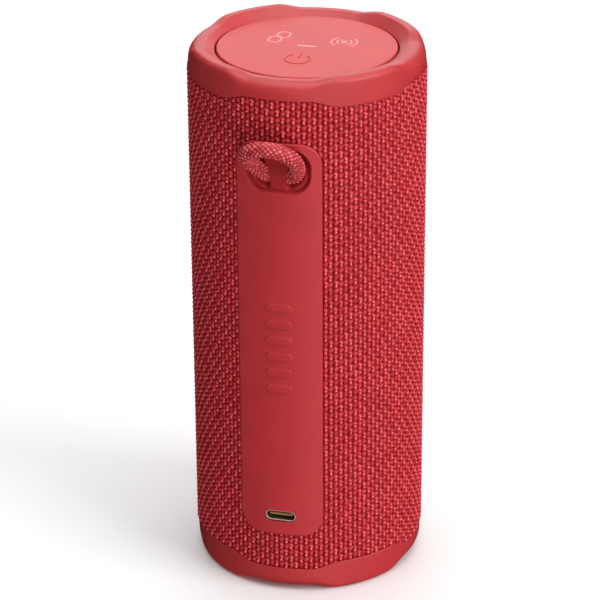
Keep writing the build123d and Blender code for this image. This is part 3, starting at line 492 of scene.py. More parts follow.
def moulded(name, colour, rough, grain, grain_depth, specular=0.5, metallic=0.0, coat=0.0,
            stretch=None, painted_recess_shade=None):
    """Moulded or cast stuff: faint mottling, uneven gloss and a fine surface grain.

    rough is the span of its roughness, grain the noise scale and grain_depth its bump in
    millimetres. With a painted shade colour, the colour turns to that darker one as the mesh's
    painted shade value goes to 1, deeper in a hollow.
    """
    material, tree, shader, coords = node_material(name)
    slow = noise(tree, coords, MOTTLE_SCALE)
    fine = noise(tree, coords, grain, 2, stretch)
    tone_and_painted_light = ramp(tree, slow, [
        (0.3, shade(colour, 1 - MOTTLING)), (0.7, shade(colour, 1 + MOTTLING))])
    # painted shade: darker deeper in a hollow
    if painted_recess_shade:
        tone_and_painted_light = paint_recess_shade(tree, tone_and_painted_light, painted_recess_shade)
    tree.links.new(tone_and_painted_light, shader.inputs["Base Color"])
    tree.links.new(spread_value(tree, fine, *rough), shader.inputs["Roughness"])
    bump(tree, shader, fine, grain_depth * MM)
    shader.inputs["Specular IOR Level"].default_value = specular
    shader.inputs["Metallic"].default_value = metallic
    shader.inputs["Coat Weight"].default_value = coat
    return material


FIBRE_SHARE = 0.22  # how much the fibres vary the yarn's colour
FIBRE_DEPTH = 0.04 * MM


def woven(name, stops, fibre_scale):
    """Yarn: painted shade to painted highlight by the mesh's crest value, fine fibres over it."""
    material, tree, shader, coords = node_material(name)
    fibre = noise(tree, coords, fibre_scale)
    mixed = tree.nodes.new("ShaderNodeMath")
    mixed.operation = "MULTIPLY_ADD"
    mixed.inputs[1].default_value = FIBRE_SHARE
    tree.links.new(fibre, mixed.inputs[0])
    tree.links.new(mesh_value(tree, "crest"), mixed.inputs[2])
    tree.links.new(ramp(tree, mixed.outputs["Value"], stops), shader.inputs["Base Color"])
    shader.inputs["Roughness"].default_value = 0.45
    shader.inputs["Specular IOR Level"].default_value = 0.40
    bump(tree, shader, fibre, FIBRE_DEPTH)
    return material


STRIP_COLOUR = (0.49, 0.029, 0.036)
# painted shade: the pocket's rubber turns to this darker colour deeper in its scoop
POCKET_PAINTED_SHADE_COLOUR = (0.36, 0.016, 0.020)
RUBBER = moulded("coral_rubber", (0.50, 0.032, 0.036), (0.42, 0.52), 2400, 0.02, specular=0.58)
PANEL = moulded("coral_panel", (0.58, 0.041, 0.041), (0.44, 0.54), 3200, 0.02)
STRIP = moulded("coral_strip", STRIP_COLOUR, (0.44, 0.54), 2400, 0.02)
# the strip's rubber, with painted shade that darkens it deeper in the pocket's scoop
POCKET = moulded("coral_pocket_painted_shade", STRIP_COLOUR, (0.50, 0.60), 2400, 0.02, specular=0.3,
                 painted_recess_shade=POCKET_PAINTED_SHADE_COLOUR)
PORT_RIM = moulded("port_rim", (0.82, 0.58, 0.48), (0.24, 0.36), 4000, 0.004, metallic=0.45)
ICON = moulded("icon_ink", (0.88, 0.30, 0.30), (0.40, 0.48), 3000, 0.01)
DIFFUSER = moulded("light_diffuser", (0.95, 0.48, 0.46), (0.30, 0.38), 3000, 0.01)
# yarn colours from painted shade in crevices and valleys, at a low crest value, to painted
# highlight on dots and crests, at a high one
FABRIC = woven("coral_fabric", [
    (0.02, (0.15, 0.0001, 0.0004)), (0.24, (0.25, 0.0008, 0.003)), (0.50, (0.44, 0.015, 0.023)),
    (0.80, (0.70, 0.065, 0.080)), (1.10, (0.90, 0.155, 0.170))], 5000)
BRAID = woven("loop_braid", [
    (0.05, (0.26, 0.006, 0.012)), (0.40, (0.48, 0.034, 0.044)), (0.75, (0.66, 0.095, 0.105)),
    (1.10, (0.92, 0.240, 0.250))], 6000)


def slot_materials():
    """A material for every slot of the record, given to the CAD's own nodes."""
    made = {
        "coral_rubber": RUBBER, "coral_panel": PANEL, "coral_strip": STRIP,
        "coral_fabric": FABRIC, "loop_braid": BRAID, "light_diffuser": DIFFUSER}
    plain = {
        "port_tongue": ((0.36, 0.17, 0.08), (0.35, 0.5), 3000, 0.01),
        "chassis_black": ((0.020, 0.020, 0.022), (0.45, 0.6), 1800, 0.04),
        "chip_black": ((0.018, 0.018, 0.020), (0.4, 0.55), 2600, 0.01),
        "switch_white": ((0.62, 0.60, 0.55), (0.35, 0.5), 2600, 0.01),
        "ferrite": ((0.035, 0.035, 0.038), (0.5, 0.7), 2600, 0.04),
        "cone_paper": ((0.030, 0.030, 0.033), (0.55, 0.75), 1500, 0.06),
        "spider_cloth": ((0.42, 0.25, 0.08), (0.6, 0.8), 2000, 0.08),
        "seal_rubber": ((0.022, 0.022, 0.022), (0.5, 0.65), 2200, 0.02)}
    metals = {
        "port_steel": ((0.42, 0.27, 0.19), (0.24, 0.36), 4000, 0.004, 0.8, None),
        "gold_contact": ((0.83, 0.58, 0.25), (0.2, 0.3), 4000, 0.003, 1.0, None),
        "steel": ((0.56, 0.56, 0.57), (0.22, 0.36), 2200, 0.01, 1.0, None),
        "copper": ((0.72, 0.30, 0.14), (0.25, 0.4), 2600, 0.02, 1.0, (8, 1, 1))}
    coated = {
        "board_green": ((0.012, 0.085, 0.040), (0.2, 0.35), 900, 0.01, 0.4),
        "cell_wrap": ((0.022, 0.085, 0.36), (0.15, 0.28), 1200, 0.01, 0.5)}
    for name, look in plain.items():
        made[name] = moulded(name, *look)
    for name, (*look, metallic, stretch) in metals.items():
        made[name] = moulded(name, *look, metallic=metallic, stretch=stretch)
    for name, (*look, coat) in coated.items():
        made[name] = moulded(name, *look, coat=coat)
    slots = {part["node"]: part["material_slot"] for part in frame["record"]["subparts"]}
    for node, piece in NODES.items():
        piece.data.materials.clear()
        piece.data.materials.append(made[slots[node]])


slot_materials()

# ---- hang loop: a round braid along its route ----------------------------------------------------
LOOP_TILT = math.radians(50)  # of the loop's plane above level
LOOP_AXIS = Vector((0, (CRIMP_LOW.y + CRIMP_HIGH.y) / 2, (CRIMP_LOW.z + CRIMP_HIGH.z) / 2))
CORD_D = 4.4 * MM
CORD_VALLEY = 0.30 * MM  # how far the braid's valleys lie below half of CORD_D
BRAID_DEEP = 0.36 * MM
BRAID_CARRIERS = 9
BRAID_STEP = 1.3 * MM
BRAID_RING = 90
BRAID_ROW = 0.16 * MM
# corners of the route in the loop's own plane, in millimetres: along X, then out from the axis
LOOP_CORNERS = [
    (-1.0, 0), (-3.8, 0), (-5.4, 2.4), (-8.7, 9.2), (-6.2, 13.3), (-0.8, 14.9),
    (3.8, 13.0), (6.1, 8.4), (5.4, 2.4), (3.8, 0), (1.0, 0)]


def loop_line():
    """Points read from a smooth spline whose control points are the route's corners."""
    curve = bpy.data.curves.new("loop_route", "CURVE")
    curve.dimensions = "3D"
    curve.resolution_u = 40
    spline = curve.splines.new("NURBS")
    spline.points.add(len(LOOP_CORNERS) - 1)
    for point, (across, out) in zip(spline.points, LOOP_CORNERS):
        level, lift = out * math.cos(LOOP_TILT), out * math.sin(LOOP_TILT)
        point.co = (*(LOOP_AXIS + MM * Vector((across, -level, lift))), 1)
    spline.order_u = 3
    spline.use_endpoint_u = True
    holder = bpy.data.objects.new("loop_route", curve)
    mesh = bpy.data.meshes.new_from_object(holder)
    line = np.array([tuple(v.co) for v in mesh.vertices])
    bpy.data.objects.remove(holder)
    bpy.data.meshes.remove(mesh)
    return line


def even_line(line, step):
    """The same line with evenly spaced points, and its length."""
    along = np.r_[0, np.cumsum(np.linalg.norm(np.diff(line, axis=0), axis=1))]
    at = np.linspace(0, along[-1], int(along[-1] / step) + 1)
    return np.stack([np.interp(at, along, line[:, k]) for k in range(3)], -1), along[-1]


def braid_relief(turn, run, rng):
    """Height and painted light, 0..1, of the braid at an angle (0..1 of a turn) along the cord."""
    a = BRAID_CARRIERS * turn + run / BRAID_STEP
    b = BRAID_CARRIERS * turn - run / BRAID_STEP
    cell_a, cell_b = np.floor(a).astype(int), np.floor(b).astype(int)
    across, along = a - cell_a - 0.5, b - cell_b - 0.5
    over = (cell_a + cell_b) % 2 == 0
    across, along = np.where(over, along, across), np.where(over, across, along)
    pull = rng.normal(0, 1, (64, 64))[cell_a % 64, cell_b % 64]
    rounding = np.clip(1 - (across / 0.50) ** 2, 0, 1) ** 0.6
    deep = rounding * (0.60 + 0.40 * np.cos(2 * np.pi * along))
    # painted light: highlight on the strands' crests, shade in the valleys, with a random tone per
    # strand
    return deep, np.clip(deep * (0.80 + 0.24 * pull), 0, 1)


def make_hang_loop():
    """The braid swept along its route."""
    line, length = even_line(loop_line(), BRAID_ROW)
    along = np.gradient(line, axis=0)
    along /= np.linalg.norm(along, axis=1)[:, None]
    normal = np.array([0, -math.sin(LOOP_TILT), -math.cos(LOOP_TILT)])
    side = np.cross(along, normal)
    side /= np.linalg.norm(side, axis=1)[:, None]
    turn = np.arange(BRAID_RING) / BRAID_RING
    run = np.linspace(0, length, len(line))
    deep, tone_and_painted_light = braid_relief(turn[None, :], run[:, None], np.random.default_rng(3))
    radius = CORD_D / 2 - CORD_VALLEY + BRAID_DEEP * deep
    c, s = np.cos(2 * np.pi * turn), np.sin(2 * np.pi * turn)
    outwards = c[None, :, None] * side[:, None, :] + s[None, :, None] * normal[None, None, :]
    points = line[:, None, :] + radius[..., None] * outwards
    faces = quads(len(line), BRAID_RING, wrap_cols=True)
    mesh = fast_mesh("hang_loop_braid", points.reshape(-1, 3), faces)
    # the crest value paints highlight and shade into the braid's colour
    give_values(mesh, "crest", tone_and_painted_light)
    piece = put_mesh("hang_loop_braid", mesh, BRAID, "loop", ["hang_loop"])


make_hang_loop()

# ---- rubber ends ---------------------------------------------------------------------------------
HOLE_R = PANEL_R + 0.45 * MM
EDGE_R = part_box("top_bumper")[1].x
LOBE_HALF = math.radians(22.5)
LOBE_BLEND = math.radians(15)
LOBE_SECTIONS = 576
# the sections' other corners, in millimetres: radius of the skirt under the fabric, depth where the
# slope inside the crest meets the panel's hole, and depth of the skirt's end at the top and base
SKIRT_R = 33.0
SLOPE_END = 2.35
TOP_SEAT, BASE_SEAT = 10.0, 11.5
# per lobe, in millimetres: depth of the crest below the end's outermost plane, depth of the
# rubber's edge at the top and at the base, then radius and rounding of the outer and inner corner
HIGH_LOBE = (0.0, 8.1, 9.6, 32.80, 1.7, 29.6, 1.0)
LOW_LOBE = (1.1, 6.1, 7.6, 33.25, 3.3, 28.6, 2.0)


def lobe_weight(angle):
    """0 in the low lobes, which are in line with the strip and square to it, 1 in the high ones."""
    off = np.abs((angle + math.pi / 2 + math.pi / 4) % (math.pi / 2) - math.pi / 4)
    return smooth_step((off - LOBE_HALF) / LOBE_BLEND + 0.5)


def lobe_values(angle):
    """The seven lobe numbers at one angle."""
    w = float(lobe_weight(angle))
    return [a + (b - a) * w for a, b in zip(LOW_LOBE, HIGH_LOBE)]


def rubber_end(name, node, is_top):
    """Closed ring whose section changes smoothly from lobe to lobe."""
    sections = []
    seat = TOP_SEAT if is_top else BASE_SEAT
    for k in range(LOBE_SECTIONS):
        angle = 2 * math.pi * k / LOBE_SECTIONS
        crest, top_edge, base_edge, out_r, out_round, in_r, in_round = lobe_values(angle)
        edge = top_edge if is_top else base_edge
        corners = [
            (SKIRT_R, seat), (SKIRT_R, edge), (EDGE_R / MM, edge), (out_r, crest),
            (in_r, crest), (HOLE_R / MM, SLOPE_END), (HOLE_R / MM, seat)]
        section = fillet_corners(corners, [0.05, 0.28, out_round, in_round, 0.35])
        r, depth = section[:, 0] * MM, section[:, 1] * MM
        z = HEIGHT - depth if is_top else depth
        sections.append(np.stack([r * math.cos(angle), r * math.sin(angle), z], -1))
    points = np.array(sections).reshape(-1, 3)
    faces = quads(LOBE_SECTIONS, len(sections[0]), True, True)
    if is_top:
        faces = faces[:, ::-1]
    put_mesh(name, fast_mesh(name, points, faces), RUBBER, "root", [node])


rubber_end("top_bumper_moulding", "top_bumper", True)
rubber_end("bottom_bumper_moulding", "bottom_bumper", False)

# ---- service strip -------------------------------------------------------------------------------
STRIP_HALF_ARC = STRIP_R * math.asin(STRIP_HIGH.x / STRIP_R)
STRIP_MID_Z = (STRIP_LOW.z + STRIP_HIGH.z) / 2
STRIP_CORNER = 6.5 * MM
STRIP_OUTLINE = rounded_rect(STRIP_HALF_ARC, (STRIP_HIGH.z - STRIP_LOW.z) / 2, STRIP_CORNER,
                             (0, STRIP_MID_Z))
POCKET_MID_Z = (POCKET_LOW.z + POCKET_HIGH.z) / 2
POCKET_WALL = 1.2 * MM  # of the CAD pocket, round its opening
POCKET_LIP = 0.6 * MM  # how far the soft lip reaches out over the wall
POCKET_HALF_W = POCKET_HIGH.x - POCKET_WALL
POCKET_HALF_H = (POCKET_HIGH.z - POCKET_LOW.z) / 2 - POCKET_WALL
POCKET_CORNER = 5.6 * MM
POCKET_OUTLINE = rounded_rect(POCKET_HALF_W + POCKET_LIP, POCKET_HALF_H + POCKET_LIP, POCKET_CORNER,
                              (0, POCKET_MID_Z))
PORT_MID_Z = (PORT_LOW.z + PORT_HIGH.z) / 2
PORT_GAP = 0.12 * MM
PORT_HALF_W = PORT_HIGH.x + PORT_GAP
PORT_HALF_H = (PORT_HIGH.z - PORT_LOW.z) / 2 + PORT_GAP
PORT_OUTLINE = rounded_rect(PORT_HALF_W, PORT_HALF_H, PORT_HALF_H * FULL_ROUND, (0, PORT_MID_Z))
RIB_COUNT = 6
RIB_HALF_W, RIB_HALF_H, RIB_RISE = 3.9 * MM, 1.3 * MM, 0.28 * MM


def make_strip():
    """The strip's face and its rounded edge, open at the pocket and the port."""
    strip = plate(
        STRIP_OUTLINE, [POCKET_OUTLINE, PORT_OUTLINE], round_body(STRIP_R),
        round_over(0.5 * MM, 1.4 * MM), [(0, 0)], 1.3 * MM)
    put("rear_strip_moulding", *strip, STRIP, "root", "coral_strip", ["rear_strip"])


def make_ribs():
    """Low pills down the middle of the strip where it is gripped."""
    ribs = []
    spacing = (RIBS_HIGH.z - RIBS_LOW.z - 2 * RIB_HALF_H) / (RIB_COUNT - 1)
    for k in range(RIB_COUNT):
        middle = (0, RIBS_LOW.z + RIB_HALF_H + k * spacing)
        outline = rounded_rect(RIB_HALF_W, RIB_HALF_H, RIB_HALF_H * FULL_ROUND, middle)
        ribs.append(plate(outline, [], round_body(STRIP_R + RIB_RISE),
                          round_over(0.26 * MM, 0.45 * MM), [], 0.7 * MM))
    put("grip_ribs_moulding", *joined(ribs), STRIP, "root", "coral_strip", ["grip_ribs"])


# depths below the strip's face: the web, how much deeper the floor is above it, and how much
# deeper again the legs' beds are
WEB_DEPTH = 1.15 * MM
FLOOR_DROP = 1.9 * MM
BED_DROP = 1.7 * MM
# the ramp under the resting loop: its depth at one height above the axis, its slope and its limits
RAMP_DEPTH, RAMP_V, RAMP_SLOPE = 5.75 * MM, 1.35 * MM, 0.84
RAMP_SHALLOWEST, RAMP_DEEPEST = 0.9 * MM, 6.3 * MM
# the hollow round each leg: inner and outer side at the axis, and their lean on the left and right
LEG_INNER, LEG_INNER_LEAN = 2.6 * MM, (0.60, 0.20)
LEG_OUTER, LEG_OUTER_LEAN = 7.0 * MM, (0.55, 0.22)
WEB_HALF = 2.1 * MM
LIP_WIDTH = 0.70 * MM
CREASE_DEPTH = 0.34 * MM
CREASE_IN, CREASE_HALF = 0.60 * MM, 0.45 * MM


def pocket_depth(u, v, lip):
    """Depth below the strip's face at (u, v) about the loop's axis; lip is how far in from the lip.

    A web in the middle is level with the shallow floor. The loop's legs go into it from both sides,
    in hollows that hug them, and the floor rises as a ramp along the underside of the resting loop.
    """
    side = np.abs(u)
    climb = 0.70 * np.maximum(0, side - 3.8 * MM)
    shallow = WEB_DEPTH + FLOOR_DROP * smooth_step((v - 0.6 * MM) / (4.4 * MM))
    bed = shallow + BED_DROP * smooth_step((v - climb + 3.3 * MM) / (1.4 * MM))
    ramp = np.clip(RAMP_DEPTH - RAMP_SLOPE * (v - RAMP_V), RAMP_SHALLOWEST, RAMP_DEEPEST)
    up = np.maximum(0, v)
    outer = LEG_OUTER + np.where(u < 0, *LEG_OUTER_LEAN) * up
    inner = LEG_INNER + np.where(u < 0, *LEG_INNER_LEAN) * up
    leg = (smooth_step((outer + 0.6 * MM - side) / (1.6 * MM))
           * smooth_step((side - inner) / (0.9 * MM) + 0.5))
    hollow = leg * smooth_step((v - climb + 2.15 * MM) / (0.45 * MM))
    beside = shallow + (bed - shallow) * leg + np.maximum(0, ramp - bed) * hollow
    floor = shallow + (beside - shallow) * smooth_step((side - WEB_HALF) / (0.8 * MM))
    floor = np.minimum(floor, 0.95 * MM + 1.3 * lip)
    crease = CREASE_DEPTH * smooth_step(1 - np.abs(lip - CREASE_IN) / CREASE_HALF)
    return (floor + crease) * smooth_step(lip / LIP_WIDTH)


def make_pocket():
    """Scoop with two pits and a web between them, one smooth surface with the strip's face."""
    strip_face = round_body(STRIP_R)

    def place(u, v, rise):
        lip = np.maximum(0, -distance_to(POCKET_OUTLINE, np.stack([u, v], -1)))
        return strip_face(u, v, -pocket_depth(u, v - LOOP_AXIS.z, lip))

    verts, faces = plate(POCKET_OUTLINE, [], place, [(0, 0), (0, 0)], [], 0.22 * MM)
    piece = put("loop_pocket_scoop", verts, faces, POCKET, "root", "coral_strip", ["loop_pocket"])
    # painted shade amount: 0 at the strip's face, 1 from 1.3 mm deep, darkening the pocket's colour
    spots = np.array([tuple(v.co) for v in piece.data.vertices])
    depth = STRIP_R - np.hypot(spots[:, 0], spots[:, 1])
    give_values(piece.data, "painted_recess_shade", smooth_step(depth / (1.3 * MM)))


PORT_ROLL = 0.17 * MM  # radius of the rim's round section
PORT_ROLL_IN = 0.13 * MM  # how far its centre lies inside the shell's outside
PORT_RING = 14


def make_port_rim():
    """Rolled metal edge of the port's shell, just proud of the strip."""
    half_w = PORT_HIGH.x - PORT_ROLL_IN
    half_h = (PORT_HIGH.z - PORT_LOW.z) / 2 - PORT_ROLL_IN
    outline = rounded_rect(half_w, half_h, half_h * FULL_ROUND, (0, PORT_MID_Z))
    path = resample(outline, 0.25 * MM)
    turn = 2 * math.pi * np.arange(PORT_RING) / PORT_RING
    lines = [grown(path, PORT_ROLL * math.cos(t)) for t in turn]
    points = np.stack([
        np.stack([line[:, 0], np.full(len(path), PORT_LOW.y - rise), line[:, 1]], -1)
        for line, rise in zip(lines, PORT_ROLL * np.sin(turn))], 1)
    faces = quads(len(path), PORT_RING, True, True)
    mesh = fast_mesh("usb_shell_rim", points.reshape(-1, 3), faces)
    put_mesh("usb_shell_rim", mesh, PORT_RIM, "root")


make_strip()
make_ribs()
make_pocket()
make_port_rim()

# ---- front keys ----------------------------------------------------------------------------------
FRONT_KEY_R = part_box("play_button")[1].y


def front_key_outlines():
    """Outline of each front key in (u, v): a plus, a triangle and a bar."""
    boxes = (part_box(f"{key}_button") for key in ("volume_up", "play", "volume_down"))
    up, middle, down = ((low.z + high.z) / 2 for low, high in boxes)
    arm, half = 5.5 * MM, 2.0 * MM
    plus = [(half, -arm), (half, -half), (arm, -half), (arm, half), (half, half), (half, arm),
            (-half, arm), (-half, half), (-arm, half), (-arm, -half), (-half, -half), (-half, -arm)]
    point = 5.6 * MM
    thirds = (0, 2 * math.pi / 3, 4 * math.pi / 3)
    triangle = [(point * math.cos(a), point * math.sin(a)) for a in thirds]
    return {
        "volume_up": rounded_polygon([(x, up + z) for x, z in plus], 0.7 * MM),
        "play": rounded_polygon([(x, middle + z) for x, z in triangle], 0.8 * MM),
        "volume_down": rounded_rect(arm, half, 0.9 * MM, (0, down)),
    }


FRONT_KEYS = front_key_outlines()
for key_name, outline in FRONT_KEYS.items():
    key_cap = plate(
        outline, [], round_body(FRONT_KEY_R, 1), round_over(0.6 * MM, 3.0 * MM), [], 0.8 * MM)
    put(f"{key_name}_cap", *key_cap, RUBBER, f"{key_name}_key", "coral_rubber",
        [f"{key_name}_button"])

# ---- fabric sleeve -------------------------------------------------------------------------------
COLUMNS = 144
PER_COLUMN = 6
STITCH = 4.1 * MM
ROW = STITCH / 12
WEAVE_DEEP = 0.88 * MM
JITTER_ROWS = 64
# parts of a stitch, in millimetres: middle across and up the stitch, half width, half height, tilt
SLANTING_BAR = (0.0, 3.38, 0.84, 0.46, -0.36)
TIGHT_DOT = (-0.03, 2.38, 0.52, 0.60, 0.0)
LOW_SWELL = (0.04, 0.80, 0.92, 0.80, 0.2)
CORE_HALF = 0.66  # of the yarn that runs up each column under them
TUCKED_IN = 1.15 * MM  # how far the tucked fabric lies inside the body's radius
TUCK_RISE = 0.39 * MM  # how far the weave's valleys stand above the tucked fabric
# rows start and stop this far from the base and the top, and are then cut along the rubber's edges
ROWS_LOW, ROWS_HIGH = 6.2 * MM, 4.6 * MM


def weave_relief(column, height, rng):
    """Height and painted light, 0..1; a stitch: a slanting bar over a tight dot over a low swell.
    """
    index = np.floor(column + 0.5)
    pitch = 2 * math.pi * BODY_R / COLUMNS
    x = (column - index) * pitch / MM
    row = height / STITCH + np.mod(index, 2) * 0.5
    stitch = np.floor(row)
    v = (row - stitch) * STITCH / MM
    jitter = rng.normal(0, 1, (4, COLUMNS, JITTER_ROWS))
    jitter = jitter[:, np.mod(index, COLUMNS).astype(int), stitch.astype(int) % JITTER_ROWS]
    x = x + 0.05 * jitter[0]
    v = v + 0.08 * jitter[1]

    def dome(cx, cv, half_x, half_v, tilt):
        dx = x - cx
        dv = v - cv - tilt * dx
        return np.sqrt(np.clip(1 - (dx / half_x) ** 2 - (dv / half_v) ** 2, 0, 1))

    bar, dot, swell = dome(*SLANTING_BAR), dome(*TIGHT_DOT), dome(*LOW_SWELL)
    core = np.sqrt(np.clip(1 - np.abs(x / CORE_HALF) ** 2.5, 0, 1))
    deep = np.maximum.reduce([
        0.86 * bar, dot, (0.64 + 0.05 * jitter[2]) * swell, 0.36 * core])
    # painted light: highlight on the bars and dots, shade in the crevices, with a random tone per
    # stitch
    tone_and_painted_light = np.maximum.reduce([
        (0.90 + 0.10 * jitter[3]) * bar ** 1.6, (1.18 + 0.14 * jitter[2]) * dot ** 1.4,
        (0.62 + 0.07 * jitter[3]) * swell ** 1.6, 0.34 * core ** 2])
    return deep, np.clip(tone_and_painted_light, 0, 1)


def fabric_edges(angle):
    """Height of the rubber's edge at the base and the top, round the body."""
    w = lobe_weight(angle)
    top = HEIGHT - MM * (LOW_LOBE[1] + (HIGH_LOBE[1] - LOW_LOBE[1]) * w)
    base = MM * (LOW_LOBE[2] + (HIGH_LOBE[2] - LOW_LOBE[2]) * w)
    return base, top


def fabric_opening(a, z):
    """Distance from each place on the fabric to the nearest cut-out, negative inside it."""
    # arc distance round the body, from the strip's centre line and from the side opposite it
    strip_u = ((a + math.pi / 2 + math.pi) % (2 * math.pi) - math.pi) * BODY_R
    back_u = ((a + math.pi / 2) % (2 * math.pi) - math.pi) * BODY_R
    far = 3 * MM
    opening = np.full(a.shape, 1.0)
    near = np.abs(strip_u) < STRIP_HALF_ARC + far
    # the strip's outline is measured round its own face
    spots = np.stack([strip_u[near] / (BODY_R / STRIP_R), z[near]], -1)
    opening[near] = np.minimum(opening[near], distance_to(STRIP_OUTLINE[::3], spots))
    for outline in FRONT_KEYS.values():
        lo, hi = outline.min(0) - far, outline.max(0) + far
        near = (back_u > lo[0]) & (back_u < hi[0]) & (z > lo[1]) & (z < hi[1])
        spots = np.stack([back_u[near], z[near]], -1)
        opening[near] = np.minimum(opening[near], distance_to(outline[::2], spots))
    return opening


def make_fabric():
    """One woven sheet round the body, tucked in at the rubber ends, the strip and the keys."""
    count = COLUMNS * PER_COLUMN
    angle = 2 * math.pi * np.arange(count) / count - math.pi / 2
    levels = np.arange(ROWS_LOW, HEIGHT - ROWS_HIGH, ROW)
    a, z = np.meshgrid(angle, levels, indexing="ij")
    column = (a + math.pi / 2) / (2 * math.pi) * COLUMNS
    deep, tone_and_painted_light = weave_relief(column, z, np.random.default_rng(7))
    base, top = fabric_edges(a)
    rim = np.minimum(z - base, top - z)
    opening = fabric_opening(a, z)
    tuck = (smooth_step((opening + 0.25 * MM) / (0.5 * MM))
            * smooth_step((rim + 0.35 * MM) / (0.7 * MM)))
    radius = BODY_R - TUCKED_IN + tuck * TUCK_RISE + WEAVE_DEEP * deep * tuck
    points = np.stack([radius * np.cos(a), radius * np.sin(a), z], -1).reshape(-1, 3)
    faces = quads(count, len(levels), wrap_rows=True)
    alive = ((opening > -0.7 * MM) & (rim > -0.9 * MM)).ravel()
    faces = faces[alive[faces].all(1)]
    used = np.unique(faces)
    renumber = np.zeros(len(points), int)
    renumber[used] = np.arange(len(used))
    mesh = fast_mesh("fabric_weave", points[used], renumber[faces])
    # painted highlight and shade by the weave's height; where the fabric tucks under the rubber,
    # strip and keys it goes to the darkest painted shade
    give_values(mesh, "crest", (tone_and_painted_light * tuck).ravel()[used])
    piece = put_mesh("fabric_weave", mesh, FABRIC, "root", ["fabric_sleeve"])


make_fabric()

# ---- top panel, keys and icons -------------------------------------------------------------------
KEY_R = 5.86 * MM
KEY_GAP = 0.008 * MM
LIGHT_GAP = 0.02 * MM
KEY_SPOTS = {}
for key in ("power", "pairing", "share"):
    lo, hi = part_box(f"{key}_button")
    KEY_SPOTS[key] = ((lo.x + hi.x) / 2, (lo.y + hi.y) / 2)
TOP_FACE = flat_top(PANEL_TOP)
LIGHT_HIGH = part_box("status_light")[1]


def make_top_panel():
    """The panel with its holes, and the three round keys flush with it."""
    light = rounded_rect(LIGHT_HIGH.x + LIGHT_GAP, LIGHT_HIGH.y + LIGHT_GAP, 0.2 * MM)
    holes = [disc(KEY_R + KEY_GAP, spot) for spot in KEY_SPOTS.values()] + [light]
    face = plate(
        disc(PANEL_R, count=240), holes, TOP_FACE, round_over(0.5 * MM, 2.4 * MM),
        [(0, 0), (0, -0.9 * MM)], 1.6 * MM)
    put("top_panel_face", *face, PANEL, "root", "coral_panel", ["top_panel"])
    for name, spot in KEY_SPOTS.items():
        cap = plate(disc(KEY_R, spot), [], TOP_FACE, [(0, 0), (0, -1.2 * MM)], [], 1.2 * MM)
        put(f"{name}_key_cap", *cap, PANEL, f"{name}_key", "coral_panel", [f"{name}_button"])


def make_icons():
    """Raised marks on the keys: a power sign, two links of a chain, and a dot with waves."""
    power, pairing, share = (np.array(KEY_SPOTS[k]) for k in ("power", "pairing", "share"))
    wide, rise = 0.55 * MM, 0.22 * MM
    ring = arc_points(power, 3.6 * MM, 90 + 38, 90 + 322)
    bar = np.linspace(power + (0, 1.2 * MM), power + (0, 4.2 * MM), 8)
    sign = [stroke(line, wide, rise, TOP_FACE) for line in (ring, bar)]
    put("power_icon", *joined(sign), PANEL, "power_key", "coral_panel")
    links = []
    for side in (-1, 1):
        middle = pairing + np.array((side * 0.8 * MM, side * 2.0 * MM))
        loop = rounded_rect(1.75 * MM, 2.5 * MM, 1.7 * MM, middle)
        links.append(stroke(np.vstack([loop, loop[:1]]), 0.5 * MM, 0.1 * MM, TOP_FACE))
    put("pairing_icon", *joined(links), ICON, "pairing_key", "coral_panel")
    rise = 0.12 * MM
    waves = [stroke(arc_points(share, 0.5 * MM, 0, 350, 16), 0.9 * MM, rise, TOP_FACE)]
    for side in (0, 180):
        for radius in (2.1 * MM, 3.7 * MM):
            wave = arc_points(share, radius, side - 52, side + 52)
            waves.append(stroke(wave, 0.5 * MM, rise, TOP_FACE))
    put("share_icon", *joined(waves), ICON, "share_key", "coral_panel")


make_top_panel()
make_icons()


# ---- room ----------------------------------------------------------------------------------------
MIDDLE = (0, 0, 0.1)


def polar(turn, lift, out):
    """Point at a compass turn from +X and a lift in degrees, this far from the object's middle."""
    turn, lift = math.radians(turn), math.radians(lift)
    return (out * math.cos(lift) * math.cos(turn), out * math.cos(lift) * math.sin(turn),
            MIDDLE[2] + out * math.sin(lift))


FLOOR_R = 0.9
# a white room to look at, which lights the object only softly
ROOM_LIGHT = 0.21
ROOM_SEEN_MORE = 0.76
# name, place, size and power; the soft ones leave no reflections
LIGHTS = [
    ("overhead", (0, 0.12, 2.3), (2.2, 2.2), 43),
    ("key", polar(-17, 30, 2.4), (1.44, 1.44), 39),
    ("backdrop", polar(104, 22, 1.6), (1.1, 0.8), 6)]
SOFT_LIGHTS = [
    ("fill", polar(-78, 4, 2.2), (1.2, 1.2), 9),
    ("bounce", polar(-60, -22, 1.5), (1.0, 1.0), 9),
    ("rear", polar(110, 3, 2.4), (1.6, 1.2), 16)]


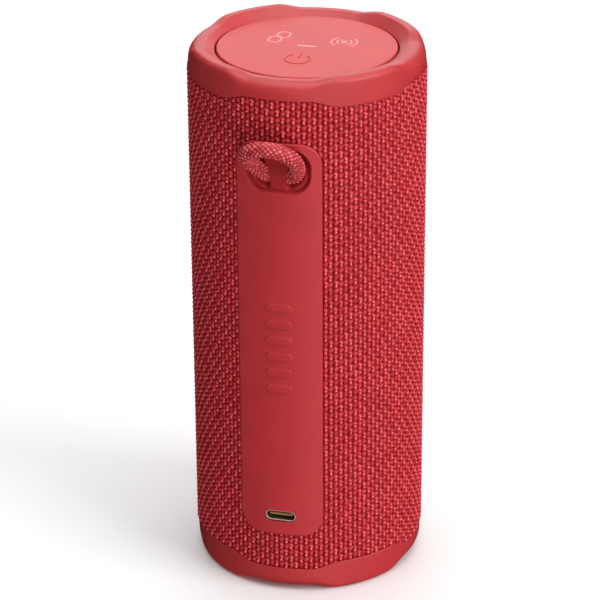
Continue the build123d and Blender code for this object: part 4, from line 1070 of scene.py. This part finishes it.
def area_light(name, place, size, power):
    """Rectangular lamp aimed at the object's middle."""
    data = bpy.data.lights.new(name, "AREA")
    data.shape = "RECTANGLE"
    data.size, data.size_y = size
    data.energy = power
    light = bpy.data.objects.new(name, data)
    light.location = place
    aim = Vector(MIDDLE) - Vector(place)
    light.rotation_euler = aim.to_track_quat("-Z", "Y").to_euler()
    bpy.context.scene.collection.objects.link(light)
    return light


def make_floor():
    """Round sheet of pale paper that takes shadows and throws no light back on the object."""
    mesh = bpy.data.meshes.new("floor")
    rim = disc(FLOOR_R)
    mesh.from_pydata([(x, y, 0) for x, y in rim], [], [range(len(rim))])
    material, tree, shader, coords = node_material("floor_paper")
    tone = ramp(tree, noise(tree, coords, 6, 2), [(0.3, (0.90,) * 3), (0.7, (0.93,) * 3)])
    tree.links.new(tone, shader.inputs["Base Color"])
    shader.inputs["Roughness"].default_value = 0.9
    shader.inputs["Specular IOR Level"].default_value = 0.1
    mesh.materials.append(material)
    floor = bpy.data.objects.new("floor", mesh)
    bpy.context.scene.collection.objects.link(floor)
    floor.visible_diffuse = False
    floor.visible_glossy = False
    floor.visible_shadow = False


def make_world():
    """The white room, seen bright and lighting softly, and plain colours in the picture."""
    world = bpy.data.worlds.new("studio")
    world.use_nodes = True
    nodes, links = world.node_tree.nodes, world.node_tree.links
    background = nodes["Background"]
    background.inputs["Color"].default_value = (1, 1, 1, 1)
    path = nodes.new("ShaderNodeLightPath")
    strength = nodes.new("ShaderNodeMath")
    strength.operation = "MULTIPLY_ADD"
    strength.inputs[1].default_value = ROOM_SEEN_MORE
    strength.inputs[2].default_value = ROOM_LIGHT
    links.new(path.outputs["Is Camera Ray"], strength.inputs[0])
    links.new(strength.outputs["Value"], background.inputs["Strength"])
    world.cycles_visibility.glossy = False
    bpy.context.scene.world = world
    bpy.context.scene.view_settings.view_transform = "Standard"


make_floor()
make_world()
for light_row in LIGHTS:
    area_light(*light_row)
for light_row in SOFT_LIGHTS:
    area_light(*light_row).visible_glossy = False
